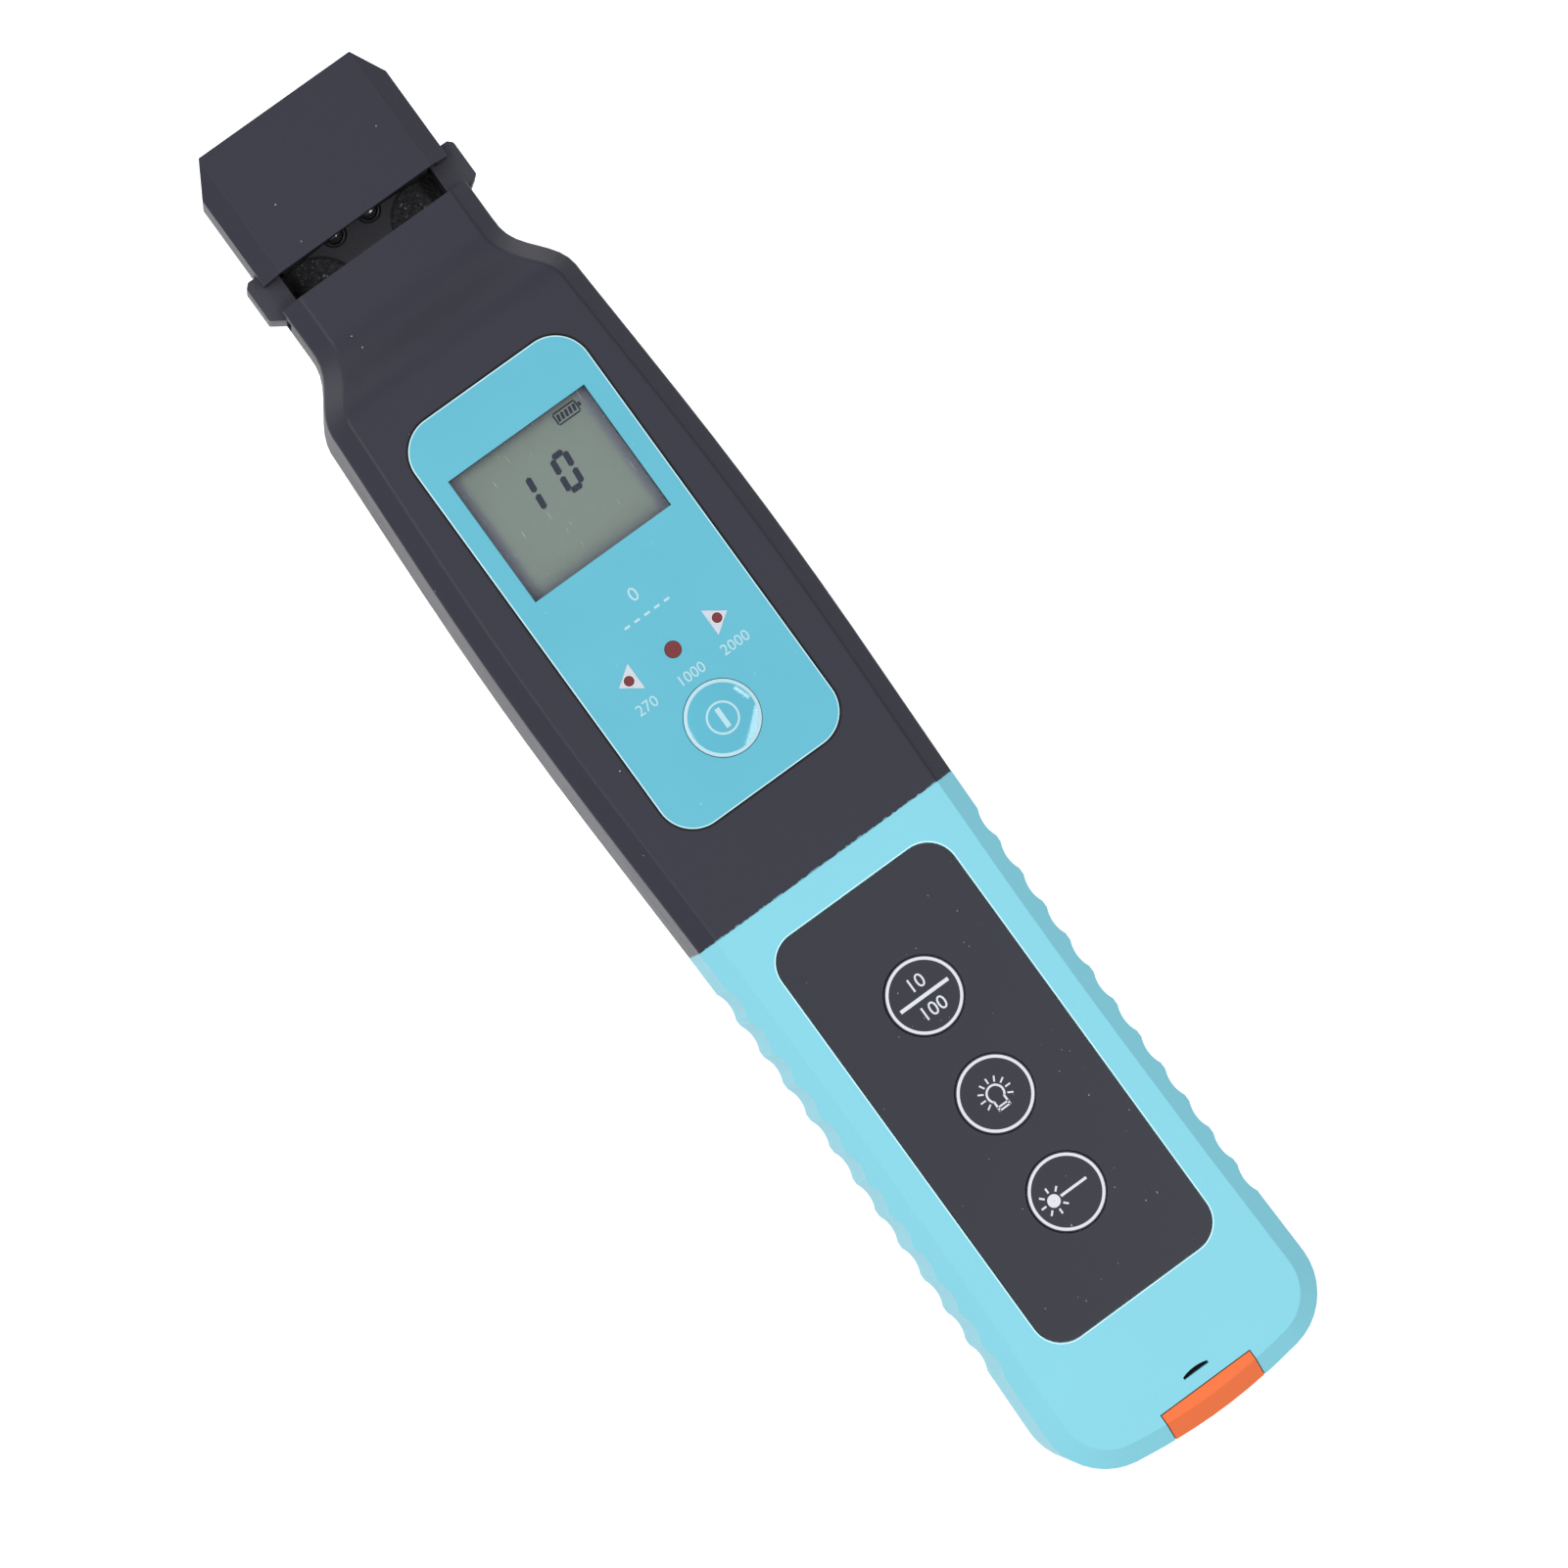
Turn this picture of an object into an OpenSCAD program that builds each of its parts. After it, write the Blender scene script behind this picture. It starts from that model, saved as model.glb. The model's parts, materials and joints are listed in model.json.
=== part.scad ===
// Hand-held optical fibre identifier with a visible-laser port at its tail.
// It lies on its back: +X to the right, +Y towards the head, +Z out of the front face.
// The origin is the centre of its length and width, on the rear face.

/* [Body] */
// Length of the dark body between the shoulder and the coloured grip
mid_l = 87.3; // [76:0.1:100]
// Room between the housing screws' posts and the side walls
side_spare = 0.7; // [0.4:0.1:4]
// Room between the battery bay and the circuit board
board_gap = 2.9; // [2.4:0.1:5]
// Width and depth of the bevel along the outer edges
edge_bevel = 2.8; // [2:0.1:3.2]
// Radius of the tail's corners
tail_corner_r = 10; // [8:0.5:12]
// How far the tail's end bulges past its corners
tail_crown = 1; // [0.6:0.1:1.6]
// Wall on the front and rear faces
wall = 2; // [1.8:0.1:2.4]
// Wall on the sides
side_wall = 2.4; // [2.2:0.1:2.8]

/* [Head] */
// Step down from the body's front face to the head's
head_drop = 5.8; // [5:0.1:6.4]
// Length of the cap above the fibre slot
cap_l = 19.7; // [18:0.1:24]
// Length of the chamfers on the cap's corners
cap_chamfer_l = 4.9; // [3:0.1:6]
// Width of the chamfers on the cap's corners
cap_chamfer_w = 2.9; // [2:0.1:4]
// Width of the fibre slot
slot_w = 4.4; // [4.2:0.1:5]
// Length of the neck below the slot
neck_l = 6.6; // [6:0.1:8]
// Length of the curved shoulder below the neck
shoulder_l = 13.5; // [12:0.5:16]

/* [Fibre guide] */
// Length of the guide's ears along the head
ear_l = 7.5; // [6.8:0.1:8]
// How far each ear stands out of the head's side
ear_out = 2.1; // [1:0.1:3]
// Height of the ears above the joint of the housing halves
ear_h = 3.7; // [3:0.1:4.5]
// Width of the cavity between the ears
guide_w = 26.2; // [23:0.2:29]
// Thickness of the guide's floor
guide_t = 1; // [0.8:0.1:1.4]
// Radius of the round foam pads
foam_r = 5.7; // [4:0.1:6]
// Radius of the detector windows
eye_r = 1.85; // [1.4:0.05:2.2]
// Distance between the detector windows
eye_pitch = 6; // [5:0.1:8]

/* [Clamp] */
// Travel of the trigger and the moving jaw
clamp_travel = 5; // [3:0.1:5.2]
// Length of the finger pad on the trigger
trigger_l = 12.4; // [11:0.2:14]
// Width of the finger pad
trigger_w = 17; // [12:0.5:22]
// Height of the finger pad over the rear face
trigger_lift = 1.8; // [0.6:0.1:3]
// Depth of both jaws through the head
jaw_h = 3.9; // [3:0.1:5]
// Bulge of the moving jaw's nose
nose_bulge = 0.8; // [0.4:0.1:1.2]
// Outer radius of the return spring
spring_r = 1.9; // [1.4:0.1:2.1]
// Wire radius of the return spring
spring_wire_r = 0.25; // [0.15:0.01:0.3]

/* [Front panel] */
// Width of both overlays
overlay_w = 29.65; // [28:0.1:32]
// Thickness of both overlays
overlay_t = 0.8; // [0.6:0.1:1]
// Distance from the upper overlay to the coloured grip
upper_margin = 13.65; // [11:0.05:16]
// Corner radius of the upper overlay
upper_overlay_r = 5.5; // [3:0.1:8]
// Distance from the lower overlay to the tail
lower_margin = 20.3; // [16:0.1:24]
// Corner radius of the lower overlay
lower_overlay_r = 4.5; // [3:0.1:8]
// Width of the display's window
lcd_w = 23.4; // [20:0.2:25]
// Length of the display's window
lcd_l = 20.75; // [18:0.2:22]
// Radius of the power key
power_key_r = 5.45; // [4:0.05:6]
// Height of the power key's dome above the overlay
power_dome = 0.5; // [0.2:0.1:1]
// Radius of the three lower keys
key_r = 5.65; // [4.5:0.05:6.2]
// Distance between the lower keys
key_pitch = 16.9; // [15:0.1:18]
// Travel of every key
key_travel = 0.4; // [0.2:0.05:0.5]
// Distance between the three indicator lights
led_pitch = 7.6; // [6:0.1:9]
// Radius of the middle indicator
led_mid_r = 1.175; // [0.8:0.025:1.5]
// Radius of the outer indicators
led_side_r = 0.7; // [0.5:0.05:1]

/* [Laser port] */
// Bore of the port, for a 2.5 mm connector ferrule
ferrule_d = 2.5; // [1.25:0.05:3]
// Width of the hinged cover over the port
cover_w = 15.3; // [13:0.1:17]
// Wall of the cover
cover_wall = 1.6; // [1.4:0.1:1.8]
// Radius of the cover's hinge pin
hinge_pin_r = 0.75; // [0.5:0.05:0.9]
// Radius of the laser's barrel
laser_r = 4.2; // [3.8:0.1:4.8]
// Length of the laser's barrel
laser_l = 20; // [16:0.5:22]

/* [Battery bay] */
// Diameter of an AAA cell
cell_d = 10.5; // [10:0.1:11]
// Length of an AAA cell
cell_l = 44.5; // [43:0.1:45.5]
// Thickness of the battery door
door_t = 1.6; // [1.2:0.1:1.7]

/* [Circuit board] */
// Thickness of the main board
board_t = 1.6; // [1:0.1:1.8]

/* [Hidden] */
$fn = 64;
// Overrun of every cut past the face it opens
cut = 1;
// Running gap between pieces that move past each other
run_gap = 0.3;
// Gap of a seam between moulded pieces
seam = 0.15;
// Gap between pieces that are seated or screwed together
seat_gap = 0.05;

// Colours
ink = [0.16, 0.16, 0.19];
cyan = [0.50, 0.84, 0.92];
panel_cyan = [0.40, 0.74, 0.83];
orange = [0.98, 0.45, 0.25];
steel = [0.75, 0.76, 0.78];
brass = [0.80, 0.66, 0.36];
board_green = [0.12, 0.38, 0.24];
smoke = [0.10, 0.10, 0.11];

// Small sizes of the display, the keys and their switches
lcd_rim = 1.5;
lcd_holder_rim = 0.8;
key_flange = 0.7;
key_flange_t = 0.8;
key_stem_l = 2.1;
switch_w = 6;
switch_h = 3.5;
plunger_h = 1;

// Small sizes of the posts for the housing screws
boss_r = 2.6;
boss_gap = 0.4;

// Small sizes of the head's pieces
ear_wall = 0.75;
carriage_t = 1.2;
foam_t = 0.6;
spring_clear = 0.9;

// Small sizes of the battery bay, its cells' contacts and the laser
bay_wall = 1.5;
bay_inset = 6.9;
cell_over_door = 1;
cell_under_roof = 0.9;
contact_t = 0.4;
contact_spring_l = 5.9;
laser_gap = 2.2;
laser_inset = 6;

// Small sizes of the port's cover and its hinge
knuckle_wall = 1;
knuckle_out = 0.85;
knuckle_in = 0.2;
knuckle_r = hinge_pin_r + knuckle_wall;
hinge_inset = knuckle_r + knuckle_out;
cover_l = hinge_inset + knuckle_r + knuckle_in;

// The body is as wide as the board between its posts, and as thick as the stack of bay, board and keys
board_w = lcd_w + 2 * (lcd_rim + lcd_holder_rim);
body_w = board_w + 2 * (boss_gap + 2 * boss_r + side_spare + side_wall);
board_z0 = door_t + cell_over_door + cell_d + cell_under_roof + bay_wall + board_gap;
board_z1 = board_z0 + board_t;
body_t = board_z1 + switch_h + plunger_h + key_travel + seat_gap + key_stem_l + key_flange_t + seam + wall;

// The grip is as long as the bay, the laser and the port in a row
bay_l = cell_l + 2 * contact_t + contact_spring_l;
grip_l = bay_inset + bay_l + bay_wall + laser_gap + laser_l + laser_inset + wall + seam + cover_l;
body_l = cap_l + slot_w + neck_l + shoulder_l + mid_l + grip_l;

// The head is as wide as the guide and as thick as the stack of carriage, guide, jaws and spring
head_w = guide_w + 2 * (ear_wall + seat_gap + wall);
head_t = 2 * wall + carriage_t + guide_t + foam_t + jaw_h + 2 * spring_r + spring_clear + 4 * run_gap;

// Stations along the length
y_top = body_l / 2;
y_tail = -body_l / 2;
y_cap = y_top - cap_l;
y_slot = y_cap - slot_w;
y_neck = y_slot - neck_l;
y_shoulder = y_neck - shoulder_l;
y_split = y_tail + grip_l;
y_slot_mid = (y_cap + y_slot) / 2;

// Levels through the thickness
z_mid = body_t / 2;
head_front = body_t - head_drop;
head_back = head_front - head_t;
z_face_in = body_t - wall;
head_in_back = head_back + wall;
head_in_front = head_front - wall;
ear_top = z_mid + ear_h;

// Outline of one side, head to tail, as shares of the half length and the half width
side_shares = [[0.608, 0.929], [0.344, 0.989], [0.122, 1.0], [-0.164, 0.965], [-0.418, 0.947],
    [-0.675, 0.958]];
tail_half_share = 0.985;
side_steps = 4;
shoulder_steps = 10;
corner_steps = 9;
crown_steps = 3;

half_l = body_l / 2;
half_w = body_w / 2;
head_half = head_w / 2;
tail_half = half_w * tail_half_share;
corner_x = tail_half - tail_corner_r;
corner_y = y_tail + tail_corner_r + tail_crown;
// Radius of the end's crown, tangent to both corners
crown_r = (corner_x * corner_x + pow(corner_y - y_tail, 2) - pow(tail_corner_r, 2)) / (2 * tail_crown);
crown_a = asin(corner_x / (crown_r - tail_corner_r));

function smoother(t) = t * t * t * (t * (6 * t - 15) + 10);
function clamp01(t) = min(1, max(0, t));
// 0 on the head and neck, 1 on the body, an S between them
function body_share(y) = smoother(clamp01((y_neck - y) / shoulder_l));
function front_z(y) = head_front + head_drop * body_share(y);
function back_z(y) = head_back * (1 - body_share(y));

// A smooth curve through stations, each stretch worked out from the two on either side of it
function curve_at(a, b, c, d, t) = 0.5 * ((2 * b) + (c - a) * t + (2 * a - 5 * b + 4 * c - d) * t * t
    + (3 * b - a - 3 * c + d) * t * t * t);
side_points = concat([for (s = side_shares) [s[1] * half_w, s[0] * half_l]], [[tail_half, corner_y]]);
function side_station(i) = side_points[max(0, min(len(side_points) - 1, i))];
side_curve = [for (i = [0:len(side_points) - 2], k = [0:side_steps - 1])
    curve_at(side_station(i - 1), side_station(i), side_station(i + 1), side_station(i + 2), k / side_steps)];
shoulder_half = side_points[0][0];
shoulder_curve = [for (k = [0:shoulder_steps - 1]) let (t = k / shoulder_steps)
    [head_half + (shoulder_half - head_half) * smoother(t), y_neck + (side_points[0][1] - y_neck) * t]];
corner_curve = [for (k = [0:corner_steps]) let (a = (90 - crown_a) * k / corner_steps)
    [corner_x + tail_corner_r * cos(a), corner_y - tail_corner_r * sin(a)]];
crown_curve = [for (k = [1:crown_steps - 1]) let (a = crown_a * (1 - k / crown_steps))
    [crown_r * sin(a), y_tail + crown_r * (1 - cos(a))]];
crown_tip = [crown_r * sin(crown_a / (3 * crown_steps)), y_tail];
half_outline = concat([[head_half - cap_chamfer_w, y_top], [head_half, y_top - cap_chamfer_l]],
    shoulder_curve, side_curve, corner_curve, crown_curve, [crown_tip]);
half_count = len(half_outline);
outline = concat(half_outline, [for (i = [half_count - 1:-1:0]) [-half_outline[i][0], half_outline[i][1]]]);
// Half width of the body at a height along it
half_table = [for (i = [half_count - 1:-1:1]) [half_outline[i][1], half_outline[i][0]]];
function half_at(y) = lookup(y, half_table);

function inward(a, b) = let (d = b - a) [d[1], -d[0]] / norm(d);
// A clockwise outline drawn in by d, corners kept sharp
function drawn_in(pts, d) = [for (i = [0:len(pts) - 1])
    let (n = len(pts), b = pts[i], u = inward(pts[(i + n - 1) % n], b), v = inward(b, pts[(i + 1) % n]))
    b + (u + v) * d / (1 + u * v)];

module box(lo, hi) {
    translate(lo)
        cube(hi - lo);
}

// A box centred on the X axis
module wide_box(w, y0, y1, z0, z1) {
    box([-w / 2, y0, z0], [w / 2, y1, z1]);
}

module both_sides() {
    children();
    mirror([1, 0, 0])
        children();
}

// A rod along Z, Y or X
module post(r, x, y, z0, z1) {
    translate([x, y, z0])
        cylinder(r = r, h = z1 - z0);
}

module rod_y(r, x, z, y0, y1) {
    translate([x, y1, z])
        rotate([90, 0, 0])
            cylinder(r = r, h = y1 - y0);
}

module rod_x(r, y, z, x0, x1) {
    translate([x0, y, z])
        rotate([0, 90, 0])
            cylinder(r = r, h = x1 - x0);
}

module round_rect(w, y0, y1, r) {
    square_w = w - 2 * r;
    translate([-square_w / 2, y0])
        square([square_w, y1 - y0]);
    translate([-w / 2, y0 + r])
        square([w, y1 - y0 - 2 * r]);
    for (x = [-square_w / 2, square_w / 2], y = [y0 + r, y1 - r])
        translate([x, y])
            circle(r = r);
}

module round_plate(w, y0, y1, r, z0, z1) {
    translate([0, 0, z0])
        linear_extrude(height = z1 - z0)
            round_rect(w, y0, y1, r);
}

// The bevel runs straight out through the cap's end, so there only the chamfered corners cut it
corner_bevel_share = 0.97;
corner_bevel = min(edge_bevel, cap_chamfer_w * corner_bevel_share);
cap_corner = half_outline[0];
bevel_corner = [head_half - corner_bevel, y_top - cap_chamfer_l * (1 - corner_bevel / cap_chamfer_w)];
function mirrored(p) = [-p[0], p[1]];

// The whole outer form: a bevelled prism whose front and back step in along an S at the shoulder
module envelope() {
    drawn = drawn_in(outline, edge_bevel);
    n = len(outline);
    m = half_count;
    inner = concat([cap_corner, bevel_corner], [for (i = [2:n - 3]) drawn[i]],
        [mirrored(bevel_corner), mirrored(cap_corner)]);
    rings = concat(
        [for (p = inner) [p[0], p[1], back_z(p[1])]],
        [for (p = outline) [p[0], p[1], back_z(p[1]) + edge_bevel]],
        [for (p = outline) [p[0], p[1], front_z(p[1]) - edge_bevel]],
        [for (p = inner) [p[0], p[1], front_z(p[1])]]);
    sides = [for (k = [0:2], i = [0:n - 1])
        [k * n + i, k * n + (i + 1) % n, (k + 1) * n + (i + 1) % n, (k + 1) * n + i]];
    front = [for (i = [0:m - 2]) [3 * n + i, 3 * n + i + 1, 4 * n - 2 - i, 4 * n - 1 - i]];
    back = [for (i = [0:m - 2]) [n - 1 - i, n - 2 - i, i + 1, i]];
    polyhedron(points = rings, faces = concat(sides, front, back), convexity = 6);
}

// Hollow of the body, with flat front and rear walls
y_hollow_top = y_shoulder - wall;
y_end_wall = y_tail + cover_l + seam;
y_hollow_end = y_end_wall + wall;
module body_hollow() {
    intersection() {
        translate([0, 0, wall])
            linear_extrude(height = body_t - 2 * wall)
                polygon(drawn_in(outline, side_wall));
        wide_box(body_w, y_hollow_end, y_hollow_top, 0, body_t);
    }
}

// Hollow of the neck, open at the fibre slot
neck_in_w = head_w - 2 * wall;
module neck_hollow() {
    wide_box(neck_in_w, y_hollow_top - wall, y_slot + cut, head_in_back, head_in_front);
}

// Hollow of the cap, which keeps its wall behind the chamfered corners
module cap_hollow() {
    intersection() {
        translate([0, 0, head_back])
            linear_extrude(height = head_t)
                polygon(drawn_in(outline, wall));
        wide_box(body_w, y_cap - cut, y_top, head_in_back, head_in_front);
    }
}

// Fibre guide
ear_half = head_half + ear_out;
ear_up = 0.5;
y_ear0 = y_slot_mid + ear_up - ear_l / 2;
y_ear1 = y_slot_mid + ear_up + ear_l / 2;
ear_chamfer = 0.7;
ear_taper = 1.3;
guide_z0 = head_in_back + carriage_t + 2 * run_gap;
guide_z1 = guide_z0 + guide_t;
guide_below = 7.1;
guide_above = 4.5;
y_guide0 = y_slot - guide_below;
y_guide1 = y_cap + guide_above;
ear_gap_above = 0.4;
ear_gap_below = 1;

// Room for the ears in the side walls
module ear_notches() {
    both_sides()
        box([guide_w / 2 - seat_gap, y_ear0 - ear_gap_below, guide_z0 - run_gap],
            [ear_half + cut, y_ear1 + ear_gap_above, ear_top + run_gap]);
}

// Screws that close the housing
screw_r = 1;
screw_head_r = 2;
screw_head_h = 1.6;
screw_sink = 3;
screw_bite = 10;
pilot_gap = 0.02;
rear_boss_r = boss_r + 2 * run_gap;
boss_top_inset = 1.4;
boss_mid_up = 10.3;
boss_tail_up = 22.5;
boss_tail_out = 1;
boss_x_top = board_w / 2;
boss_y_top = y_hollow_top - boss_r - boss_top_inset;
boss_x_mid = board_w / 2 + boss_r + boss_gap;
boss_y_mid = y_split + boss_mid_up;
boss_x_tail = board_w / 2 + boss_tail_out;
boss_y_tail = y_tail + boss_tail_up;
shell_bosses = [[boss_x_top, boss_y_top], [boss_x_mid, boss_y_mid]];
grip_bosses = [[boss_x_tail, boss_y_tail]];

module front_bosses(places) {
    both_sides()
        for (p = places)
            difference() {
                post(boss_r, p[0], p[1], z_mid, z_face_in + seat_gap);
                post(screw_r + pilot_gap, p[0], p[1], z_mid - cut, z_mid + screw_bite + cut);
            }
}

module rear_bosses(places) {
    both_sides()
        for (p = places)
            post(rear_boss_r, p[0], p[1], wall - seat_gap, z_mid);
}

module rear_boss_holes(places) {
    both_sides()
        for (p = places) {
            post(screw_head_r + run_gap, p[0], p[1], -cut, screw_sink);
            post(screw_r + seam, p[0], p[1], -cut, z_mid + cut);
        }
}

// A screw with a cross recess, its size in shares of the head's radius
cross_share = 1.3;
cross_w_share = 0.25;
module screw(x, y, z0, head_r, head_h, r, l) {
    difference() {
        post(head_r, x, y, z0, z0 + head_h);
        translate([x, y, z0 - cut])
            linear_extrude(height = cut + head_h / 2)
                union() {
                    square([head_r * cross_share, head_r * cross_w_share], center = true);
                    square([head_r * cross_w_share, head_r * cross_share], center = true);
                }
    }
    post(r, x, y, z0 + head_h, z0 + head_h + l);
}

module housing_screws() {
    color(steel)
        both_sides()
            for (p = concat(shell_bosses, grip_bosses))
                screw(p[0], p[1], screw_sink - screw_head_h, screw_head_r, screw_head_h, screw_r,
                    z_mid + screw_bite - screw_sink);
}

// Overlays
upper_inset = 4.5;
lower_inset = 5.35;
y_upper1 = y_shoulder - upper_inset;
y_upper0 = y_split + upper_margin;
y_lower1 = y_split - lower_inset;
y_lower0 = y_tail + lower_margin;
overlay_floor = body_t - overlay_t;

// Display
// Bare lengths of the upper overlay above the display and below the keys, as shares of what the display leaves
lcd_share = 0.184;
leds_share = 0.474;
power_share = 0.2304;
upper_spare = y_upper1 - y_upper0 - lcd_l;
y_lcd1 = y_upper1 - lcd_share * upper_spare;
y_lcd0 = y_lcd1 - lcd_l;
lcd_glass_t = 2.2;
lcd_drop = 0.4;
lcd_top = z_face_in - lcd_drop;

// Indicators and keys
first_key_share = 0.5064;
keys_spare = y_lower1 - y_lower0 - 2 * key_pitch;
y_power = y_upper0 + power_share * upper_spare;
y_leds = y_upper0 + leds_share * upper_spare;
led_places = [[-led_pitch, led_side_r], [0, led_mid_r], [led_pitch, led_side_r]];
y_keys = [for (k = [0:2]) y_lower1 - first_key_share * keys_spare - k * key_pitch];
key_gap = 0.12;
key_stem_r = 1.8;
key_rise = 0.1;
plunger_r = 1.6;
plunger_top = board_z1 + switch_h + plunger_h;

module key_hole(r, y) {
    post(r + key_gap, 0, y, z_face_in - cut, body_t + cut);
}

module key(r, y, top) {
    post(r, 0, y, z_face_in - key_flange_t, top);
    post(r + key_flange, 0, y, z_face_in - seam - key_flange_t, z_face_in - seam);
    post(key_stem_r, 0, y, plunger_top + key_travel + seat_gap, z_face_in - key_flange_t);
}

// Board posts under the front face
post_r = 2.2;
post_inset = 2.5;
post_below_lcd = 7.85;
post_x = board_w / 2 - post_inset;
board_screw_r = 0.8;
board_screw_head_r = 1.5;
board_screw_head_h = 1;
board_screw_bite = 6;
y_post_upper = y_lcd0 - post_below_lcd;
y_post_lower = (y_keys[0] + y_keys[1]) / 2;

module board_posts(y) {
    both_sides()
        difference() {
            post(post_r, post_x, y, board_z1, z_face_in + seat_gap);
            post(board_screw_r + pilot_gap, post_x, y, board_z1 - cut, board_z1 + board_screw_bite + cut);
        }
}

// Tongues that join the black and the coloured mouldings inside
lap_l = 3;
lap_t = 1;
lap_w = 24;

// Return spring and the rib it pushes against
spring_z = head_in_front - spring_r - spring_clear;
spring_rib_t = 1.7;
spring_rib_inset = 0.5;
spring_rib_y1 = y_slot - spring_rib_inset;
spring_rib_w = 8;

module front_shell() {
    color(ink)
        difference() {
            union() {
                difference() {
                    intersection() {
                        envelope();
                        wide_box(body_w + cut, y_split, y_slot, z_mid, body_t + cut);
                    }
                    body_hollow();
                    neck_hollow();
                }
                wide_box(lap_w, y_split - lap_l, y_split + lap_l, z_face_in - lap_t, z_face_in - seat_gap);
                wide_box(lap_w, y_split, y_split + lap_l, z_face_in - lap_t, z_face_in + seat_gap);
                wide_box(spring_rib_w, spring_rib_y1 - spring_rib_t, spring_rib_y1,
                    spring_z - spring_r, head_in_front + seat_gap);
                front_bosses(shell_bosses);
                board_posts(y_post_upper);
            }
            round_plate(overlay_w + 2 * seam, y_upper0 - seam, y_upper1 + seam, upper_overlay_r + seam,
                overlay_floor, body_t + cut);
            wide_box(lcd_w, y_lcd0, y_lcd1, z_face_in - cut, body_t);
            key_hole(power_key_r, y_power);
            for (p = led_places)
                post(p[1] + seat_gap, p[0], y_leds, z_face_in - cut, body_t);
            ear_notches();
        }
}

// Ribs along both sides of the grip: a row of round scoops leaves a crest between each two
rib_count = 12;
rib_pitch = 5.6;
rib_depth = 0.55;
rib_crest = 1.1;
rib_scoop_half = (rib_pitch - rib_crest) / 2;
rib_scoop_r = (rib_scoop_half * rib_scoop_half + rib_depth * rib_depth) / (2 * rib_depth);
rib_first_down = 8.8;
y_rib_first = y_split - rib_first_down;
module rib_scoops() {
    for (k = [0:rib_count - 1])
        let (y = y_rib_first - k * rib_pitch)
            both_sides()
                post(rib_scoop_r, half_at(y) + rib_scoop_r - rib_depth, y, -cut, body_t + cut);
}

// Notch in the tail that the port's cover fills
notch_w = cover_w + 2 * seam;
module tail_notch() {
    wide_box(notch_w, y_tail - cut, y_end_wall, -cut, body_t + cut);
}

// Slit over the cover's tongue: a flat lower edge and an arched upper one
slit_half = 2.1;
slit_h = 0.75;
slit_rise = 0.35;
slit_up = 2.1;
slit_r = (slit_half * slit_half + slit_rise * slit_rise) / (2 * slit_rise);
y_slit = y_end_wall + slit_up - seam;
tongue_w = 4;
tongue_t = 1.7;
tongue_drop = 1.1;
tongue_l = 3.65;
tongue_z1 = z_face_in - tongue_drop;
module slit() {
    intersection() {
        post(slit_r, 0, y_slit + slit_h - slit_r, z_face_in - cut, body_t + cut);
        wide_box(2 * slit_half, y_slit, y_slit + slit_h + cut, z_face_in - cut, body_t + cut);
    }
}

// Laser port on the middle of the tail
port_r = 3.4;
port_flange_r = 4.6;
port_flange_t = 0.9;
port_nose_r = 2.6;
sleeve_wall = 0.35;
port_clear = 1;
y_port_mouth = y_tail + cover_wall + port_clear;
sleeve_sink = 0.2;
y_laser0 = y_hollow_end + laser_inset;
y_laser1 = y_laser0 + laser_l;

module port_hole() {
    rod_y(port_r + seat_gap, 0, z_mid, y_end_wall - cut, y_hollow_end + cut);
}

module front_grip() {
    color(cyan)
        difference() {
            union() {
                difference() {
                    intersection() {
                        envelope();
                        wide_box(body_w + cut, y_tail - cut, y_split, z_mid, body_t + cut);
                    }
                    body_hollow();
                }
                front_bosses(grip_bosses);
                board_posts(y_post_lower);
            }
            round_plate(overlay_w + 2 * seam, y_lower0 - seam, y_lower1 + seam, lower_overlay_r + seam,
                overlay_floor, body_t + cut);
            for (y = y_keys)
                key_hole(key_r, y);
            rib_scoops();
            tail_notch();
            slit();
            wide_box(tongue_w + 2 * run_gap, y_end_wall - cut, y_hollow_end + cut,
                tongue_z1 - tongue_t - run_gap, z_face_in);
            port_hole();
        }
}

// Clamp: carriage inside the neck, trigger on its back
stem_w = 6;
stem_l = 4;
stem_inset = 0.1;
stem_y0 = y_neck - stem_inset;
stem_y1 = stem_y0 + stem_l;
carriage_z0 = head_in_back + run_gap;
web_t = 2;
rail_side = 1;
web_w = neck_in_w - 4 * run_gap;
y_web1 = y_guide0 - clamp_travel - 2 * run_gap;
y_web0 = y_web1 - web_t;

// Tongues of the rear shell that carry the cap and the guide
bridge_x0 = 6;
bridge_side = 1.2;
bridge_x1 = neck_in_w / 2 - bridge_side;
bridge_end_gap = 2.5;
bridge_l = cap_l - wall - bridge_end_gap;
cap_screw_r = 0.9;
cap_screw_head_r = 1.7;
cap_screw_head_h = 0.9;
cap_screw_sink = 1.1;
cap_screw_x = (bridge_x0 + bridge_x1) / 2;
cap_screw_inset = 3.5;
cap_screw_y = y_cap + bridge_l - cap_screw_inset;
bridge_pad_h = 3;
bridge_pad_wall = 1.4;

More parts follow.
